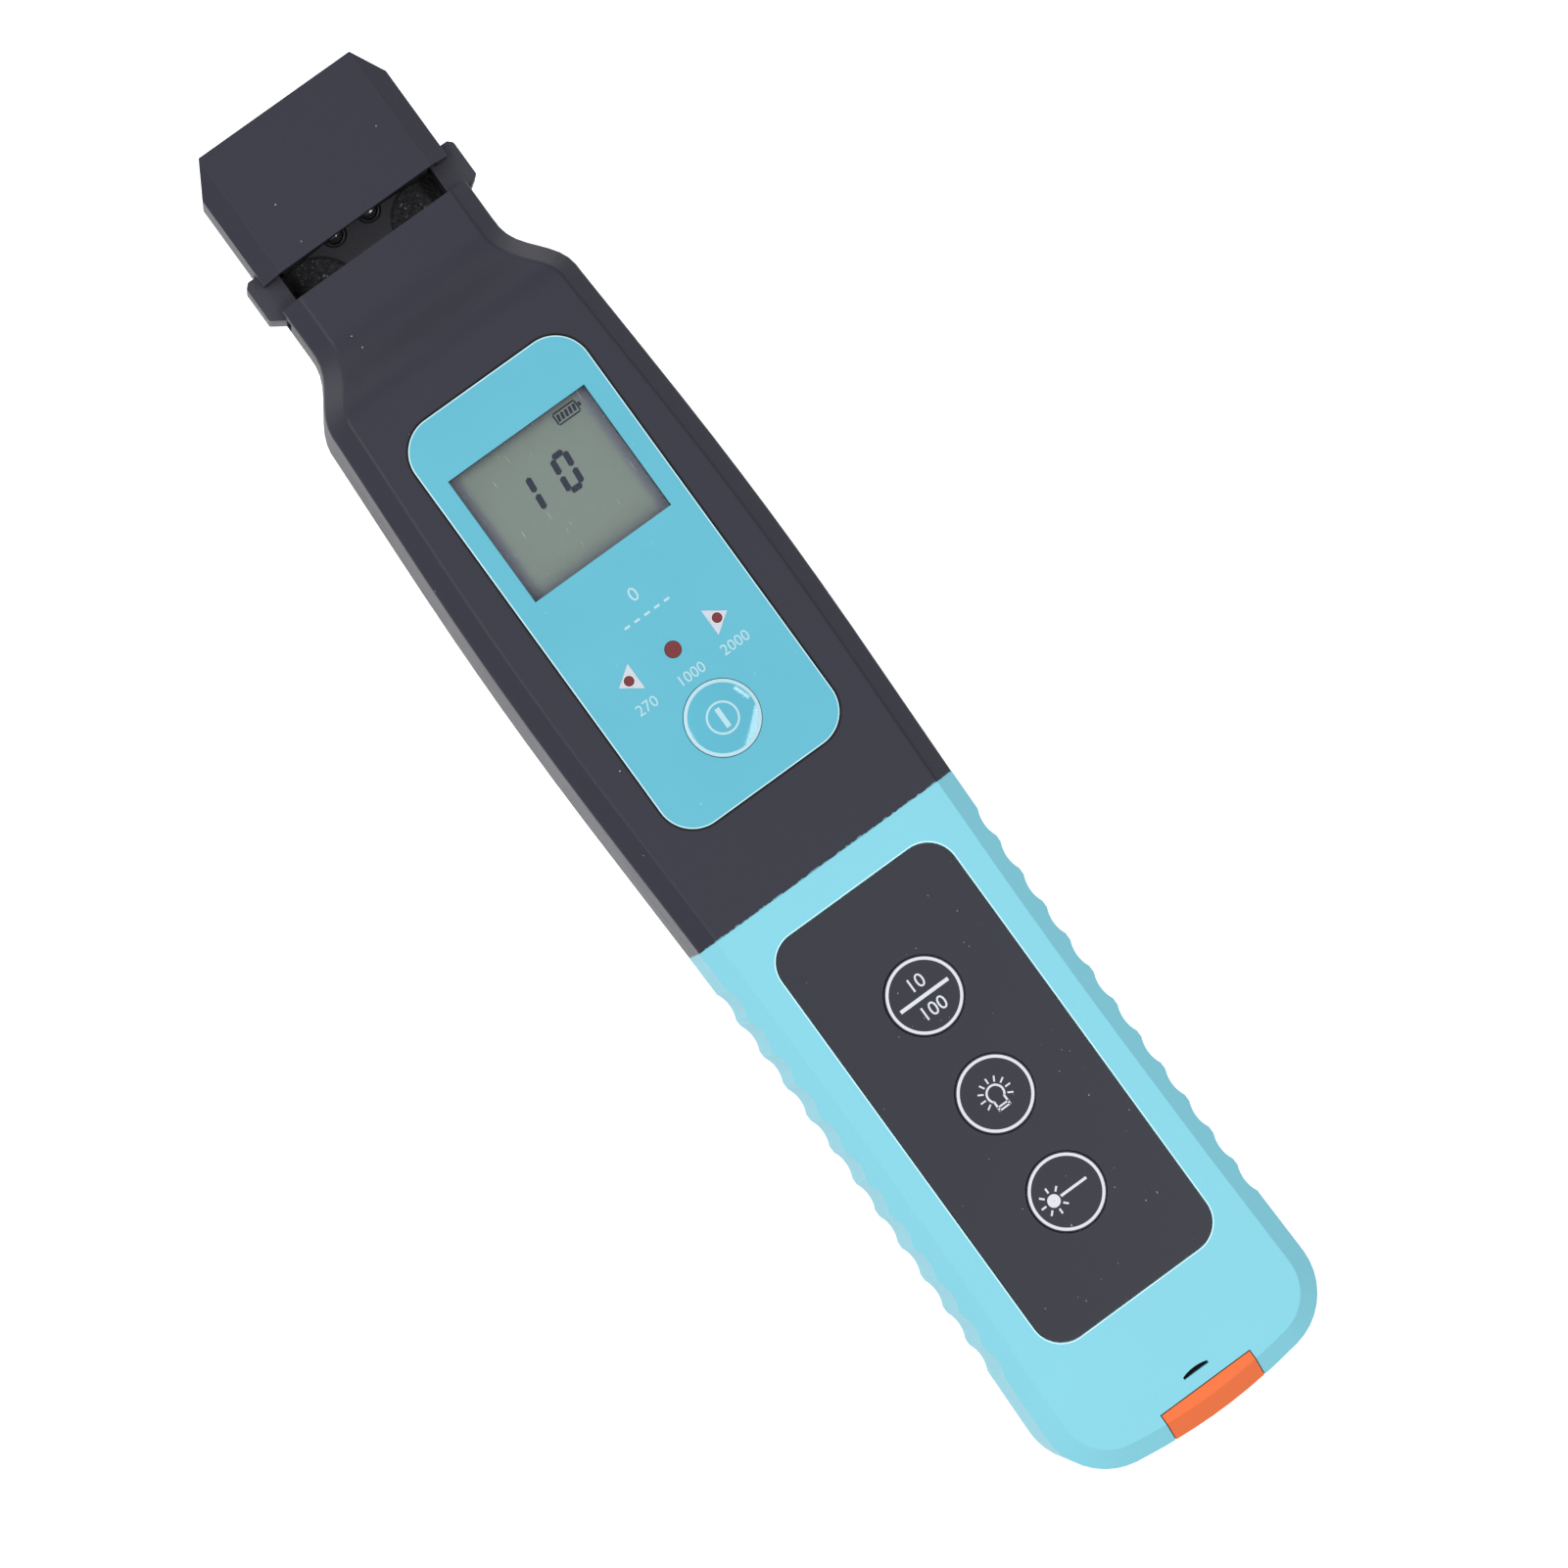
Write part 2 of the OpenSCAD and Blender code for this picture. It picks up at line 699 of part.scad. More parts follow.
module rear_shell() {
    color(ink)
        difference() {
            union() {
                difference() {
                    intersection() {
                        envelope();
                        wide_box(body_w + cut, y_split, y_cap, -cut, z_mid);
                    }
                    body_hollow();
                    wide_box(neck_in_w, y_hollow_top - wall, y_cap + cut, head_in_back, z_mid + cut);
                }
                wide_box(lap_w, y_split - lap_l, y_split + lap_l, wall + seat_gap, wall + lap_t);
                wide_box(lap_w, y_split, y_split + lap_l, wall - seat_gap, wall + lap_t);
                both_sides() {
                    box([bridge_x0, y_slot, head_in_back - seat_gap], [bridge_x1, y_cap, guide_z0]);
                    box([bridge_x0, y_slot, head_in_back + seat_gap], [bridge_x1, y_cap + bridge_l, guide_z0]);
                    post(cap_screw_r + bridge_pad_wall, cap_screw_x, cap_screw_y, guide_z0, guide_z0 + bridge_pad_h);
                }
                rear_bosses(shell_bosses);
            }
            rear_boss_holes(shell_bosses);
            ear_notches();
            wide_box(stem_w + 2 * run_gap, stem_y0 - run_gap, stem_y1 + clamp_travel + run_gap,
                head_back - cut, head_in_back + cut);
            both_sides()
                post(cap_screw_r + pilot_gap, cap_screw_x, cap_screw_y, head_back, guide_z0 + bridge_pad_h + cut);
        }
}

// Battery bay
cell_gap = 0.7;
contact_w = 8;
cell_x = (cell_d + cell_gap) / 2;
bay_spare = 1.7;
bay_w = 2 * cell_d + 3 * cell_gap + bay_spare;
y_bay1 = y_split - bay_inset;
y_bay0 = y_bay1 - bay_l;
cell_z = door_t + cell_d / 2 + cell_over_door;
bay_z1 = cell_z + cell_d / 2 + cell_under_roof;
door_lap = 1.6;
door_side = 1.1;
door_w = bay_w + 2 * door_side;
y_door1 = y_bay1 + door_lap;
y_door0 = y_bay0 - door_lap;
door_r = 2;
door_tab_w = 5;
door_tab_x = 6;
door_tab_l = 1.8;
door_tab_t = 0.9;
door_tab_z = wall + run_gap;
door_root_l = 1.4;
latch_w = 8;
latch_l = 2.4;

module bay_hollow() {
    wide_box(bay_w, y_bay0, y_bay1, door_t, bay_z1);
}

// Hinge of the port's cover
hinge_y = y_tail + hinge_inset;
hinge_z = edge_bevel;
hinge_running = 0.05;
hinge_reach = 2.2;

// Cradles that hold the laser's barrel
cradle_t = 1.6;
cradle_side = 1.5;
cradle_inset = 3;
cradle_w = 2 * (laser_r + cradle_side);
y_cradles = [y_laser0 + cradle_inset, y_laser1 - cradle_inset - cradle_t];

module rear_grip() {
    color(cyan)
        difference() {
            union() {
                difference() {
                    intersection() {
                        envelope();
                        wide_box(body_w + cut, y_tail - cut, y_split, -cut, z_mid);
                    }
                    body_hollow();
                }
                wide_box(bay_w + 2 * bay_wall, y_bay0 - bay_wall, y_bay1 + bay_wall, wall - seat_gap,
                    bay_z1 + bay_wall);
                for (y = y_cradles)
                    wide_box(cradle_w, y, y + cradle_t, wall - seat_gap, z_mid);
                rear_bosses(grip_bosses);
            }
            rear_boss_holes(grip_bosses);
            rib_scoops();
            tail_notch();
            port_hole();
            rod_y(laser_r + seat_gap, 0, z_mid, y_cradles[0] - cut, y_cradles[1] + cradle_t + cut);
            rod_x(hinge_pin_r + pilot_gap, hinge_y, hinge_z, -notch_w / 2 - hinge_reach - seam,
                notch_w / 2 + hinge_reach + seam);
            bay_hollow();
            round_plate(door_w + 2 * seam, y_door0 - seam, y_door1 + seam, door_r + seam, -cut, door_t);
            both_sides() {
                box([door_tab_x - run_gap, y_bay1 - cut, door_t - cut],
                    [door_tab_x + door_tab_w + run_gap, y_door1 + seam, door_tab_z + door_tab_t + 3 * run_gap]);
                box([door_tab_x - run_gap, y_door1, wall],
                    [door_tab_x + door_tab_w + run_gap, y_door1 + door_tab_l + run_gap,
                        door_tab_z + door_tab_t + 3 * run_gap]);
            }
        }
}

module head_cap() {
    color(ink)
        difference() {
            intersection() {
                envelope();
                wide_box(body_w, y_cap, y_top + cut, -cut, body_t);
            }
            cap_hollow();
            ear_notches();
            both_sides() {
                post(cap_screw_head_r + seam, cap_screw_x, cap_screw_y, head_back - cut, head_back + cap_screw_sink);
                post(cap_screw_r + seam, cap_screw_x, cap_screw_y, head_back - cut, head_in_back + cut);
            }
        }
}

module cap_screws() {
    color(steel)
        both_sides()
            screw(cap_screw_x, cap_screw_y, head_back + cap_screw_sink - cap_screw_head_h, cap_screw_head_r,
                cap_screw_head_h, cap_screw_r, guide_z0 + bridge_pad_h - head_back - cap_screw_sink);
}

module upper_overlay() {
    color(panel_cyan)
        difference() {
            round_plate(overlay_w, y_upper0, y_upper1, upper_overlay_r, overlay_floor, body_t);
            wide_box(lcd_w, y_lcd0, y_lcd1, overlay_floor - cut, body_t + cut);
            key_hole(power_key_r, y_power);
            for (p = led_places)
                post(p[1] + seat_gap, p[0], y_leds, overlay_floor - cut, body_t + cut);
        }
}

module lower_overlay() {
    color(ink)
        difference() {
            round_plate(overlay_w, y_lower0, y_lower1, lower_overlay_r, overlay_floor, body_t);
            for (y = y_keys)
                key_hole(key_r, y);
        }
}

// The window lies below the overlay, in the shell's own opening
module lcd_window() {
    color([0.8, 0.85, 0.85, 0.4])
        wide_box(lcd_w - 2 * seat_gap, y_lcd0 + seat_gap, y_lcd1 - seat_gap, z_face_in, overlay_floor);
}

module lcd_panel() {
    color([0.55, 0.61, 0.56])
        wide_box(lcd_w + 2 * lcd_rim, y_lcd0 - lcd_rim, y_lcd1 + lcd_rim, lcd_top - lcd_glass_t, lcd_top);
}

// Frame that holds the display on the board, with a ledge under the glass
module lcd_holder() {
    color([0.9, 0.9, 0.88])
        difference() {
            wide_box(lcd_w + 2 * (lcd_rim + lcd_holder_rim), y_lcd0 - lcd_rim - lcd_holder_rim,
                y_lcd1 + lcd_rim + lcd_holder_rim, board_z1, z_face_in - seat_gap);
            wide_box(lcd_w + 2 * (lcd_rim + seat_gap), y_lcd0 - lcd_rim - seat_gap, y_lcd1 + lcd_rim + seat_gap,
                lcd_top - lcd_glass_t, z_face_in);
            wide_box(lcd_w, y_lcd0, y_lcd1, board_z1 + wall, z_face_in);
        }
}

led_chip_w = 2;
led_chip_h = 1.2;
pipe_foot = 0.8;
pipe_foot_h = 1;
module light_pipes() {
    color([0.75, 0.2, 0.2])
        for (p = led_places) {
            post(p[1], p[0], y_leds, board_z1 + led_chip_h + run_gap, body_t - seat_gap);
            post(p[1] + pipe_foot, p[0], y_leds, z_face_in - seat_gap - pipe_foot_h, z_face_in - seat_gap);
        }
}

module indicator_leds() {
    color([0.95, 0.9, 0.8])
        for (p = led_places)
            box([p[0] - led_chip_w / 2, y_leds - led_chip_w / 2, board_z1],
                [p[0] + led_chip_w / 2, y_leds + led_chip_w / 2, board_z1 + led_chip_h]);
}

// The power key's top is a shallow dome, cut from a large ball
power_ball_r = (power_key_r * power_key_r + power_dome * power_dome) / (2 * power_dome);
module power_key() {
    color(panel_cyan)
        intersection() {
            key(power_key_r, y_power, body_t + power_dome);
            translate([0, y_power, body_t + power_dome - power_ball_r])
                sphere(r = power_ball_r, $fn = 128);
        }
}

module lower_key(k) {
    color(ink)
        key(key_r, y_keys[k], body_t + key_rise);
}

module units_key() {
    lower_key(0);
}

module light_key() {
    lower_key(1);
}

module laser_key() {
    lower_key(2);
}

module key_switches() {
    color(steel)
        for (y = concat([y_power], y_keys)) {
            box([-switch_w / 2, y - switch_w / 2, board_z1], [switch_w / 2, y + switch_w / 2, board_z1 + switch_h]);
            post(plunger_r, 0, y, board_z1 + switch_h, plunger_top);
        }
}

y_board1 = y_lcd1 + lcd_rim + lcd_holder_rim;
board_tail = 1.2;
y_board0 = y_keys[2] - switch_w / 2 - board_tail;
chip_h = 1.2;
chip_w = 9;
module main_board() {
    color(board_green) {
        difference() {
            wide_box(board_w, y_board0, y_board1, board_z0, board_z1);
            both_sides()
                for (y = [y_post_upper, y_post_lower])
                    post(board_screw_r + seam, post_x, y, board_z0 - cut, board_z1 + cut);
        }
        // Processor and amplifier on the underside
        wide_box(chip_w, y_power - chip_w / 2, y_power + chip_w / 2, board_z0 - chip_h, board_z0);
        wide_box(chip_w, y_lcd0, y_lcd0 + chip_w, board_z0 - chip_h, board_z0);
    }
}

module board_screws() {
    color(steel)
        both_sides()
            for (y = [y_post_upper, y_post_lower])
                screw(post_x, y, board_z0 - board_screw_head_h, board_screw_head_r, board_screw_head_h,
                    board_screw_r, board_t + board_screw_bite);
}

// The ear's outline: small chamfers towards the head's top, a longer taper towards the neck
module ear_outline() {
    polygon([[guide_w / 2, y_ear1], [ear_half - ear_chamfer, y_ear1], [ear_half, y_ear1 - ear_chamfer],
        [ear_half, y_ear0 + ear_taper], [head_half + seam, y_ear0], [guide_w / 2, y_ear0]]);
}

eye_up = 1.2;
foam_inset = 3.5;
foam_down = 0.6;
eye_y = y_cap + eye_up;
foam_x = guide_w / 2 - foam_inset;
foam_y = y_slot - foam_down;

module fibre_guide() {
    color(ink) {
        difference() {
            wide_box(guide_w + 2 * ear_wall, y_guide0, y_guide1, guide_z0, guide_z1);
            for (s = [-1, 1])
                post(eye_r, s * eye_pitch / 2, eye_y, guide_z0 - cut, guide_z1 + cut);
        }
        both_sides() {
            box([guide_w / 2, y_ear0, guide_z0], [guide_w / 2 + ear_wall, y_ear1, ear_top]);
            translate([0, 0, guide_z0])
                linear_extrude(height = ear_top - guide_z0)
                    ear_outline();
        }
    }
}

module foam_pads() {
    color(smoke)
        intersection() {
            both_sides()
                post(foam_r, foam_x, foam_y, guide_z1, guide_z1 + foam_t);
            wide_box(guide_w - 2 * seam, y_guide0, y_guide1, guide_z1 - cut, guide_z1 + 2 * cut);
        }
}

diode_gap = 0.1;
module photodiodes() {
    color(smoke)
        for (s = [-1, 1])
            post(eye_r - diode_gap, s * eye_pitch / 2, eye_y, head_in_back + run_gap, guide_z1 - guide_t / 2);
}

// A small clear dome over each photodiode
module detector_lenses() {
    color([0.85, 0.9, 0.95])
        for (s = [-1, 1])
            intersection() {
                translate([s * eye_pitch / 2, eye_y, guide_z1 - guide_t / 2 - eye_r / 2])
                    sphere(r = eye_r, $fn = 48);
                post(eye_r, s * eye_pitch / 2, eye_y, guide_z1 - guide_t / 2, guide_z1 + cut);
            }
}

// Jaws: the moving one is a bulged nose, the fixed one a hollow that matches it
jaw_w = guide_w - 4 * run_gap;
jaw_z0 = guide_z1 + foam_t + run_gap;
nose_r = (jaw_w * jaw_w / 4 + nose_bulge * nose_bulge) / (2 * nose_bulge);
nose_back = 0.1;
y_nose = y_slot - nose_back;
pad_t = 1;
jaw_spare = 0.4;
y_hollow_deep = y_nose + clamp_travel + jaw_spare;
jaw_end_gap = 1.8;
y_jaw_end = cap_screw_y - cap_screw_r - bridge_pad_wall - jaw_end_gap;
fixed_jaw_z1 = head_in_front;
moving_jaw_z1 = spring_z - spring_r - run_gap;

// The nose is a small arc of a large circle, so it has many sides
nose_sides = 256;
module nose(r_out, y) {
    post(r_out, 0, y - nose_r, jaw_z0 - cut, fixed_jaw_z1 + cut, $fn = nose_sides);
}

module fixed_jaw() {
    color(ink)
        difference() {
            wide_box(jaw_w, y_cap + seat_gap, y_jaw_end, jaw_z0, fixed_jaw_z1);
            nose(nose_r + pad_t, y_hollow_deep);
        }
}

module fixed_jaw_liner() {
    color(smoke)
        difference() {
            intersection() {
                wide_box(jaw_w, y_cap + seat_gap, y_jaw_end, jaw_z0, fixed_jaw_z1);
                nose(nose_r + pad_t, y_hollow_deep);
            }
            nose(nose_r, y_hollow_deep);
        }
}

module moving_jaw() {
    color([0.3, 0.3, 0.33])
        intersection() {
            wide_box(jaw_w, y_web1, y_nose, jaw_z0, moving_jaw_z1);
            nose(nose_r - pad_t, y_nose);
        }
}

module moving_jaw_pad() {
    color(smoke)
        difference() {
            intersection() {
                wide_box(jaw_w, y_web1, y_nose, jaw_z0, moving_jaw_z1);
                nose(nose_r, y_nose);
            }
            nose(nose_r - pad_t, y_nose);
        }
}

trigger_screw_r = 0.9;
trigger_screw_head_r = 1.6;
trigger_screw_head_h = 1;
trigger_screw_sink = 1.4;
module carriage() {
    color(steel)
        difference() {
            union() {
                wide_box(web_w, y_web0, y_web1, carriage_z0, head_in_front - run_gap);
                wide_box(stem_w + 2 * rail_side, y_web0, stem_y1, carriage_z0, carriage_z0 + carriage_t);
            }
            post(trigger_screw_r + pilot_gap, 0, (stem_y0 + stem_y1) / 2, carriage_z0 - cut,
                carriage_z0 + carriage_t + cut);
        }
}

trigger_inset = 1.3;
y_trigger0 = y_neck - trigger_inset;
y_trigger1 = y_trigger0 + trigger_l;
trigger_z1 = head_back - run_gap;
trigger_z0 = trigger_lift;
ridge_count = 4;
ridge_pitch = 1.6;
ridge_r = 0.5;
trigger_edge = 1.2;
// Side view of the finger pad: a ramp, a dished seat and a lip at the head end
pad_dish = 1.6;
ramp_l = 4;
lip_l = 2.6;
pad_floor = trigger_z0 + pad_dish;
y_ramp = y_trigger0 + ramp_l;
y_lip = y_trigger1 - lip_l;

module trigger_profile() {
    polygon([[y_trigger0, trigger_z1], [y_trigger0, trigger_z1 - trigger_edge], [y_ramp, pad_floor],
        [y_lip, pad_floor], [y_lip + trigger_edge, trigger_z0], [y_trigger1 - trigger_edge / 2, trigger_z0],
        [y_trigger1, trigger_z0 + trigger_edge / 2], [y_trigger1, trigger_z1]]);
}

module trigger() {
    color(ink)
        difference() {
            union() {
                intersection() {
                    rotate([90, 0, 90])
                        linear_extrude(height = trigger_w, center = true)
                            trigger_profile();
                    round_plate(trigger_w, y_trigger0, y_trigger1, trigger_edge * 2, trigger_z0, trigger_z1);
                }
                for (k = [0:ridge_count - 1])
                    rod_x(ridge_r, y_ramp + ridge_r + k * ridge_pitch, pad_floor, -trigger_w / 3, trigger_w / 3);
                wide_box(stem_w, stem_y0, stem_y1, trigger_z1 - trigger_edge, carriage_z0);
            }
            post(trigger_screw_head_r + seam, 0, (stem_y0 + stem_y1) / 2, trigger_z0 - cut,
                pad_floor + trigger_screw_sink);
            post(trigger_screw_r + seam, 0, (stem_y0 + stem_y1) / 2, trigger_z0, carriage_z0 + cut);
        }
}

module trigger_screw() {
    color(steel)
        screw(0, (stem_y0 + stem_y1) / 2, pad_floor + trigger_screw_sink - trigger_screw_head_h,
            trigger_screw_head_r, trigger_screw_head_h, trigger_screw_r,
            carriage_z0 + carriage_t - pad_floor - trigger_screw_sink);
}

// A round wire along a coil whose axis is +Z; its radius runs from r0 to r1
wire_sides = 6;
coil_steps = 12;
module coil(r0, r1, wire, length, turns) {
    n = turns * coil_steps;
    rise = length - 2 * wire;
    points = [for (i = [0:n], j = [0:wire_sides - 1])
        let (a = 360 * i / coil_steps, b = 360 * j / wire_sides, r = r0 + (r1 - r0) * i / n - wire + wire * cos(b))
        [r * cos(a), r * sin(a), wire + rise * i / n + wire * sin(b)]];
    wraps = [for (i = [0:n - 1], j = [0:wire_sides - 1])
        [i * wire_sides + j, i * wire_sides + (j + 1) % wire_sides, (i + 1) * wire_sides + (j + 1) % wire_sides,
            (i + 1) * wire_sides + j]];
    ends = [[for (j = [wire_sides - 1:-1:0]) j], [for (j = [0:wire_sides - 1]) n * wire_sides + j]];
    polyhedron(points = points, faces = concat(wraps, ends), convexity = 10);
}

spring_turns = 7;
module return_spring() {
    color(steel)
        translate([0, y_web1 + seat_gap, spring_z])
            rotate([-90, 0, 0])
                coil(spring_r, spring_r, spring_wire_r, spring_rib_y1 - spring_rib_t - y_web1 - 2 * seat_gap,
                    spring_turns);
}

laser_window_r = 0.8;
module laser_module() {
    color(brass)
        difference() {
            rod_y(laser_r, 0, z_mid, y_laser0, y_laser1);
            rod_y(laser_window_r, 0, z_mid, y_laser0 - cut, y_laser0 + laser_l / 4);
        }
}

module laser_port() {
    color(steel)
        difference() {
            union() {
                rod_y(port_r, 0, z_mid, y_end_wall, y_laser0);
                rod_y(port_flange_r, 0, z_mid, y_end_wall - port_flange_t, y_end_wall);
                rod_y(port_nose_r, 0, z_mid, y_port_mouth, y_end_wall);
            }
            rod_y(ferrule_d / 2 + sleeve_wall, 0, z_mid, y_port_mouth - cut, y_laser0 + cut);
        }
}

module ferrule_sleeve() {
    color([0.95, 0.95, 0.92])
        difference() {
            rod_y(ferrule_d / 2 + sleeve_wall, 0, z_mid, y_port_mouth + sleeve_sink, y_laser0 - seam);
            rod_y(ferrule_d / 2, 0, z_mid, y_port_mouth, y_laser0);
        }
}

// The cover fills the tail's notch, its outer faces those of the whole body
y_cover1 = y_tail + cover_l;
module port_cover() {
    color(orange)
        difference() {
            union() {
                difference() {
                    intersection() {
                        envelope();
                        wide_box(cover_w, y_tail - cut, y_cover1, hinge_z, body_t + cut);
                    }
                    wide_box(cover_w - 2 * cover_wall, y_tail + cover_wall, y_cover1 + cut,
                        hinge_z + knuckle_r + run_gap, body_t - cover_wall);
                }
                intersection() {
                    envelope();
                    rod_x(knuckle_r, hinge_y, hinge_z, -cover_w / 2, cover_w / 2);
                }
                wide_box(tongue_w, y_tail + cover_wall - seat_gap, y_cover1 + tongue_l, tongue_z1 - tongue_t,
                    tongue_z1);
            }
            rod_x(hinge_pin_r + hinge_running, hinge_y, hinge_z, -cover_w, cover_w);
        }
}

module cover_pin() {
    color(steel)
        rod_x(hinge_pin_r, hinge_y, hinge_z, -notch_w / 2 - hinge_reach, notch_w / 2 + hinge_reach);
}

module battery_door() {
    color(cyan)
        union() {
            difference() {
                round_plate(door_w, y_door0, y_door1, door_r, 0, door_t - seat_gap);
                // Finger dip beside the latch
                wide_box(latch_w, y_door0 + latch_l, y_door0 + 2 * latch_l, -cut, door_t / 2);
            }
            both_sides() {
                box([door_tab_x, y_door1 - door_root_l, door_t / 2],
                    [door_tab_x + door_tab_w, y_door1 - seat_gap, door_tab_z + door_tab_t]);
                box([door_tab_x, y_door1 - door_root_l, door_tab_z],
                    [door_tab_x + door_tab_w, y_door1 + door_tab_l, door_tab_z + door_tab_t]);
            }
        }
}

cell_nub_r = 1.9;
cell_nub_h = 1;
// A cell along Y, its nub towards +Y and its flat end at y0
module cell(x, y0) {
    rod_y(cell_d / 2, x, cell_z, y0, y0 + cell_l - cell_nub_h);
    rod_y(cell_nub_r, x, cell_z, y0, y0 + cell_l);
}

module battery_left() {
    color([0.2, 0.2, 0.22])
        cell(-cell_x, y_bay1 - contact_t - cell_l);
}

// The other cell lies the other way round
module turned_in_bay() {
    translate([0, y_bay0 + y_bay1, 0])
        mirror([0, 1, 0])
            mirror([1, 0, 0])
                children();
}

module battery_right() {
    color([0.2, 0.2, 0.22])
        turned_in_bay()
            cell(-cell_x, y_bay1 - contact_t - cell_l);
}

module battery_contacts() {
    color(steel)
        for (x = [-cell_x, cell_x], y = [y_bay0, y_bay1 - contact_t])
            box([x - contact_w / 2, y, cell_z - contact_w / 2], [x + contact_w / 2, y + contact_t, cell_z + contact_w / 2]);
}

contact_coil_r0 = 3.6;
contact_coil_r1 = 2.2;
contact_wire_r = 0.3;
contact_turns = 4;
module battery_springs() {
    color(steel) {
        translate([-cell_x, y_bay0 + contact_t, cell_z])
            rotate([-90, 0, 0])
                coil(contact_coil_r0, contact_coil_r1, contact_wire_r, contact_spring_l, contact_turns);
        translate([cell_x, y_bay1 - contact_t, cell_z])
            rotate([90, 0, 0])
                coil(contact_coil_r0, contact_coil_r1, contact_wire_r, contact_spring_l, contact_turns);
    }
}

module preamp_board() {
    color(board_green)
        wide_box(jaw_w, y_jaw_end + run_gap, y_jaw_end + run_gap + board_t,
            guide_z0 + bridge_pad_h + run_gap, head_in_front - run_gap);
}

front_shell();
front_grip();
rear_shell();
rear_grip();
head_cap();
upper_overlay();
lower_overlay();
lcd_window();
lcd_panel();
lcd_holder();
light_pipes();
indicator_leds();
power_key();
units_key();
light_key();
laser_key();
key_switches();
main_board();
preamp_board();
fibre_guide();
foam_pads();
detector_lenses();
photodiodes();
fixed_jaw();
fixed_jaw_liner();
moving_jaw();
moving_jaw_pad();
carriage();
return_spring();
trigger();
trigger_screw();
laser_module();
laser_port();
ferrule_sleeve();
port_cover();
cover_pin();
battery_door();
battery_left();
battery_right();
battery_contacts();
battery_springs();
housing_screws();
cap_screws();
board_screws();
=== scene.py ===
# %% [markdown]
# # An optical fibre identifier
# The tool is a long moulded body in two tones, with a narrow clamping head. The CAD frame already has every
# rigid form at its true size, so this lesson dresses that frame. It gives each surface its plastic, film,
# foam or metal, rounds the moulded edges, prints the keys and the panel, fills the display, adds the fine
# form of the foam and the detectors, and puts a copy of the return spring in place of the CAD one.

# %% Load the frame
import bmesh
import bpy
import json
import math
from mathutils import Matrix, Vector, noise

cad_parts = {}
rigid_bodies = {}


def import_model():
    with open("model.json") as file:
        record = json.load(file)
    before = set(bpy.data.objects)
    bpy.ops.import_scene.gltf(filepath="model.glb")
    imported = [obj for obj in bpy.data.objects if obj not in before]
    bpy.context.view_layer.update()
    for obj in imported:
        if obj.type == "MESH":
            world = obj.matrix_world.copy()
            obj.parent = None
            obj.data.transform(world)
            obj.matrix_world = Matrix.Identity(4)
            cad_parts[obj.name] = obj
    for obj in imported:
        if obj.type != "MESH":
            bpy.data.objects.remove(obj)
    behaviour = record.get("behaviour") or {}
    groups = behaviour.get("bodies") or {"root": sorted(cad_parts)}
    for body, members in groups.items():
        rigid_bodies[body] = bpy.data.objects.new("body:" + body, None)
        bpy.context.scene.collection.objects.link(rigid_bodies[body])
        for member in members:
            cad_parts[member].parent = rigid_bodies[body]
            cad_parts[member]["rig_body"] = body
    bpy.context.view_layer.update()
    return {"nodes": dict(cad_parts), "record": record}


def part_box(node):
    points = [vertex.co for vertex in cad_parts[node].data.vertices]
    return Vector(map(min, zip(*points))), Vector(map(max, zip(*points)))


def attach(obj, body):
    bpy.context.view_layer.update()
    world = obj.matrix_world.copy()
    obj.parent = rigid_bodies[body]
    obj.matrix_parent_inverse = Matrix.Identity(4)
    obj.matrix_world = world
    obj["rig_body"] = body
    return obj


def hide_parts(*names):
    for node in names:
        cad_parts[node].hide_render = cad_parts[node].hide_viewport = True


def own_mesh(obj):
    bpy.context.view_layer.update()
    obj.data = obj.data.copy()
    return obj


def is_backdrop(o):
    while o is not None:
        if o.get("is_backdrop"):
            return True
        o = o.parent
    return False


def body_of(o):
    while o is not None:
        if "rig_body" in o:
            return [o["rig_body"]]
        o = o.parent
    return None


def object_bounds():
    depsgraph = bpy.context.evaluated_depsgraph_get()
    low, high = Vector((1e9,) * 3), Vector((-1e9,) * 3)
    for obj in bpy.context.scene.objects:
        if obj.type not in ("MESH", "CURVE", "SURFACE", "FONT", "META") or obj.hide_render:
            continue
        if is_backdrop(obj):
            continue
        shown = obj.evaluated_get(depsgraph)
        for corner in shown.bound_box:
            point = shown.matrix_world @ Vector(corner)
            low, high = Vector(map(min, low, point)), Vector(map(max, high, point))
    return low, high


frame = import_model()
nodes = frame["nodes"]
MM = 0.001

# %% [markdown]
# The camera looks down on the front face from about a metre, a little to the tool's left, so a thin strip
# of the left side shows. It is rolled, because the tool lies across the picture from the upper left to the
# lower right. The long lens keeps the sides nearly parallel, as a product photographer would.

# %% Camera
IMAGE_SIZE = 1601
AIM = Vector((1.5, -6.2, 30.0)) * MM
DISTANCE = 1.0
TOWARDS_CAMERA = Vector((-0.0842, 0.0, 0.9965)).normalized()
IMAGE_UP = Vector((0.5886, 0.8084, 0.0))
FOCAL_PIXELS = 7316
SENSOR_WIDTH = 36
NEAREST, FARTHEST = 0.05, 20

camera_data = bpy.data.cameras.new("camera")
camera_data.sensor_width = SENSOR_WIDTH
camera_data.lens = SENSOR_WIDTH * FOCAL_PIXELS / IMAGE_SIZE
camera_data.clip_start, camera_data.clip_end = NEAREST, FARTHEST
camera = bpy.data.objects.new("camera", camera_data)
bpy.context.scene.collection.objects.link(camera)
across = IMAGE_UP.cross(TOWARDS_CAMERA).normalized()
upwards = TOWARDS_CAMERA.cross(across)
camera.matrix_world = Matrix.Translation(AIM + TOWARDS_CAMERA * DISTANCE) @ Matrix(
    (across, upwards, TOWARDS_CAMERA)).transposed().to_4x4()
bpy.context.scene.camera = camera
print("lens:", round(camera_data.lens, 1), "mm")

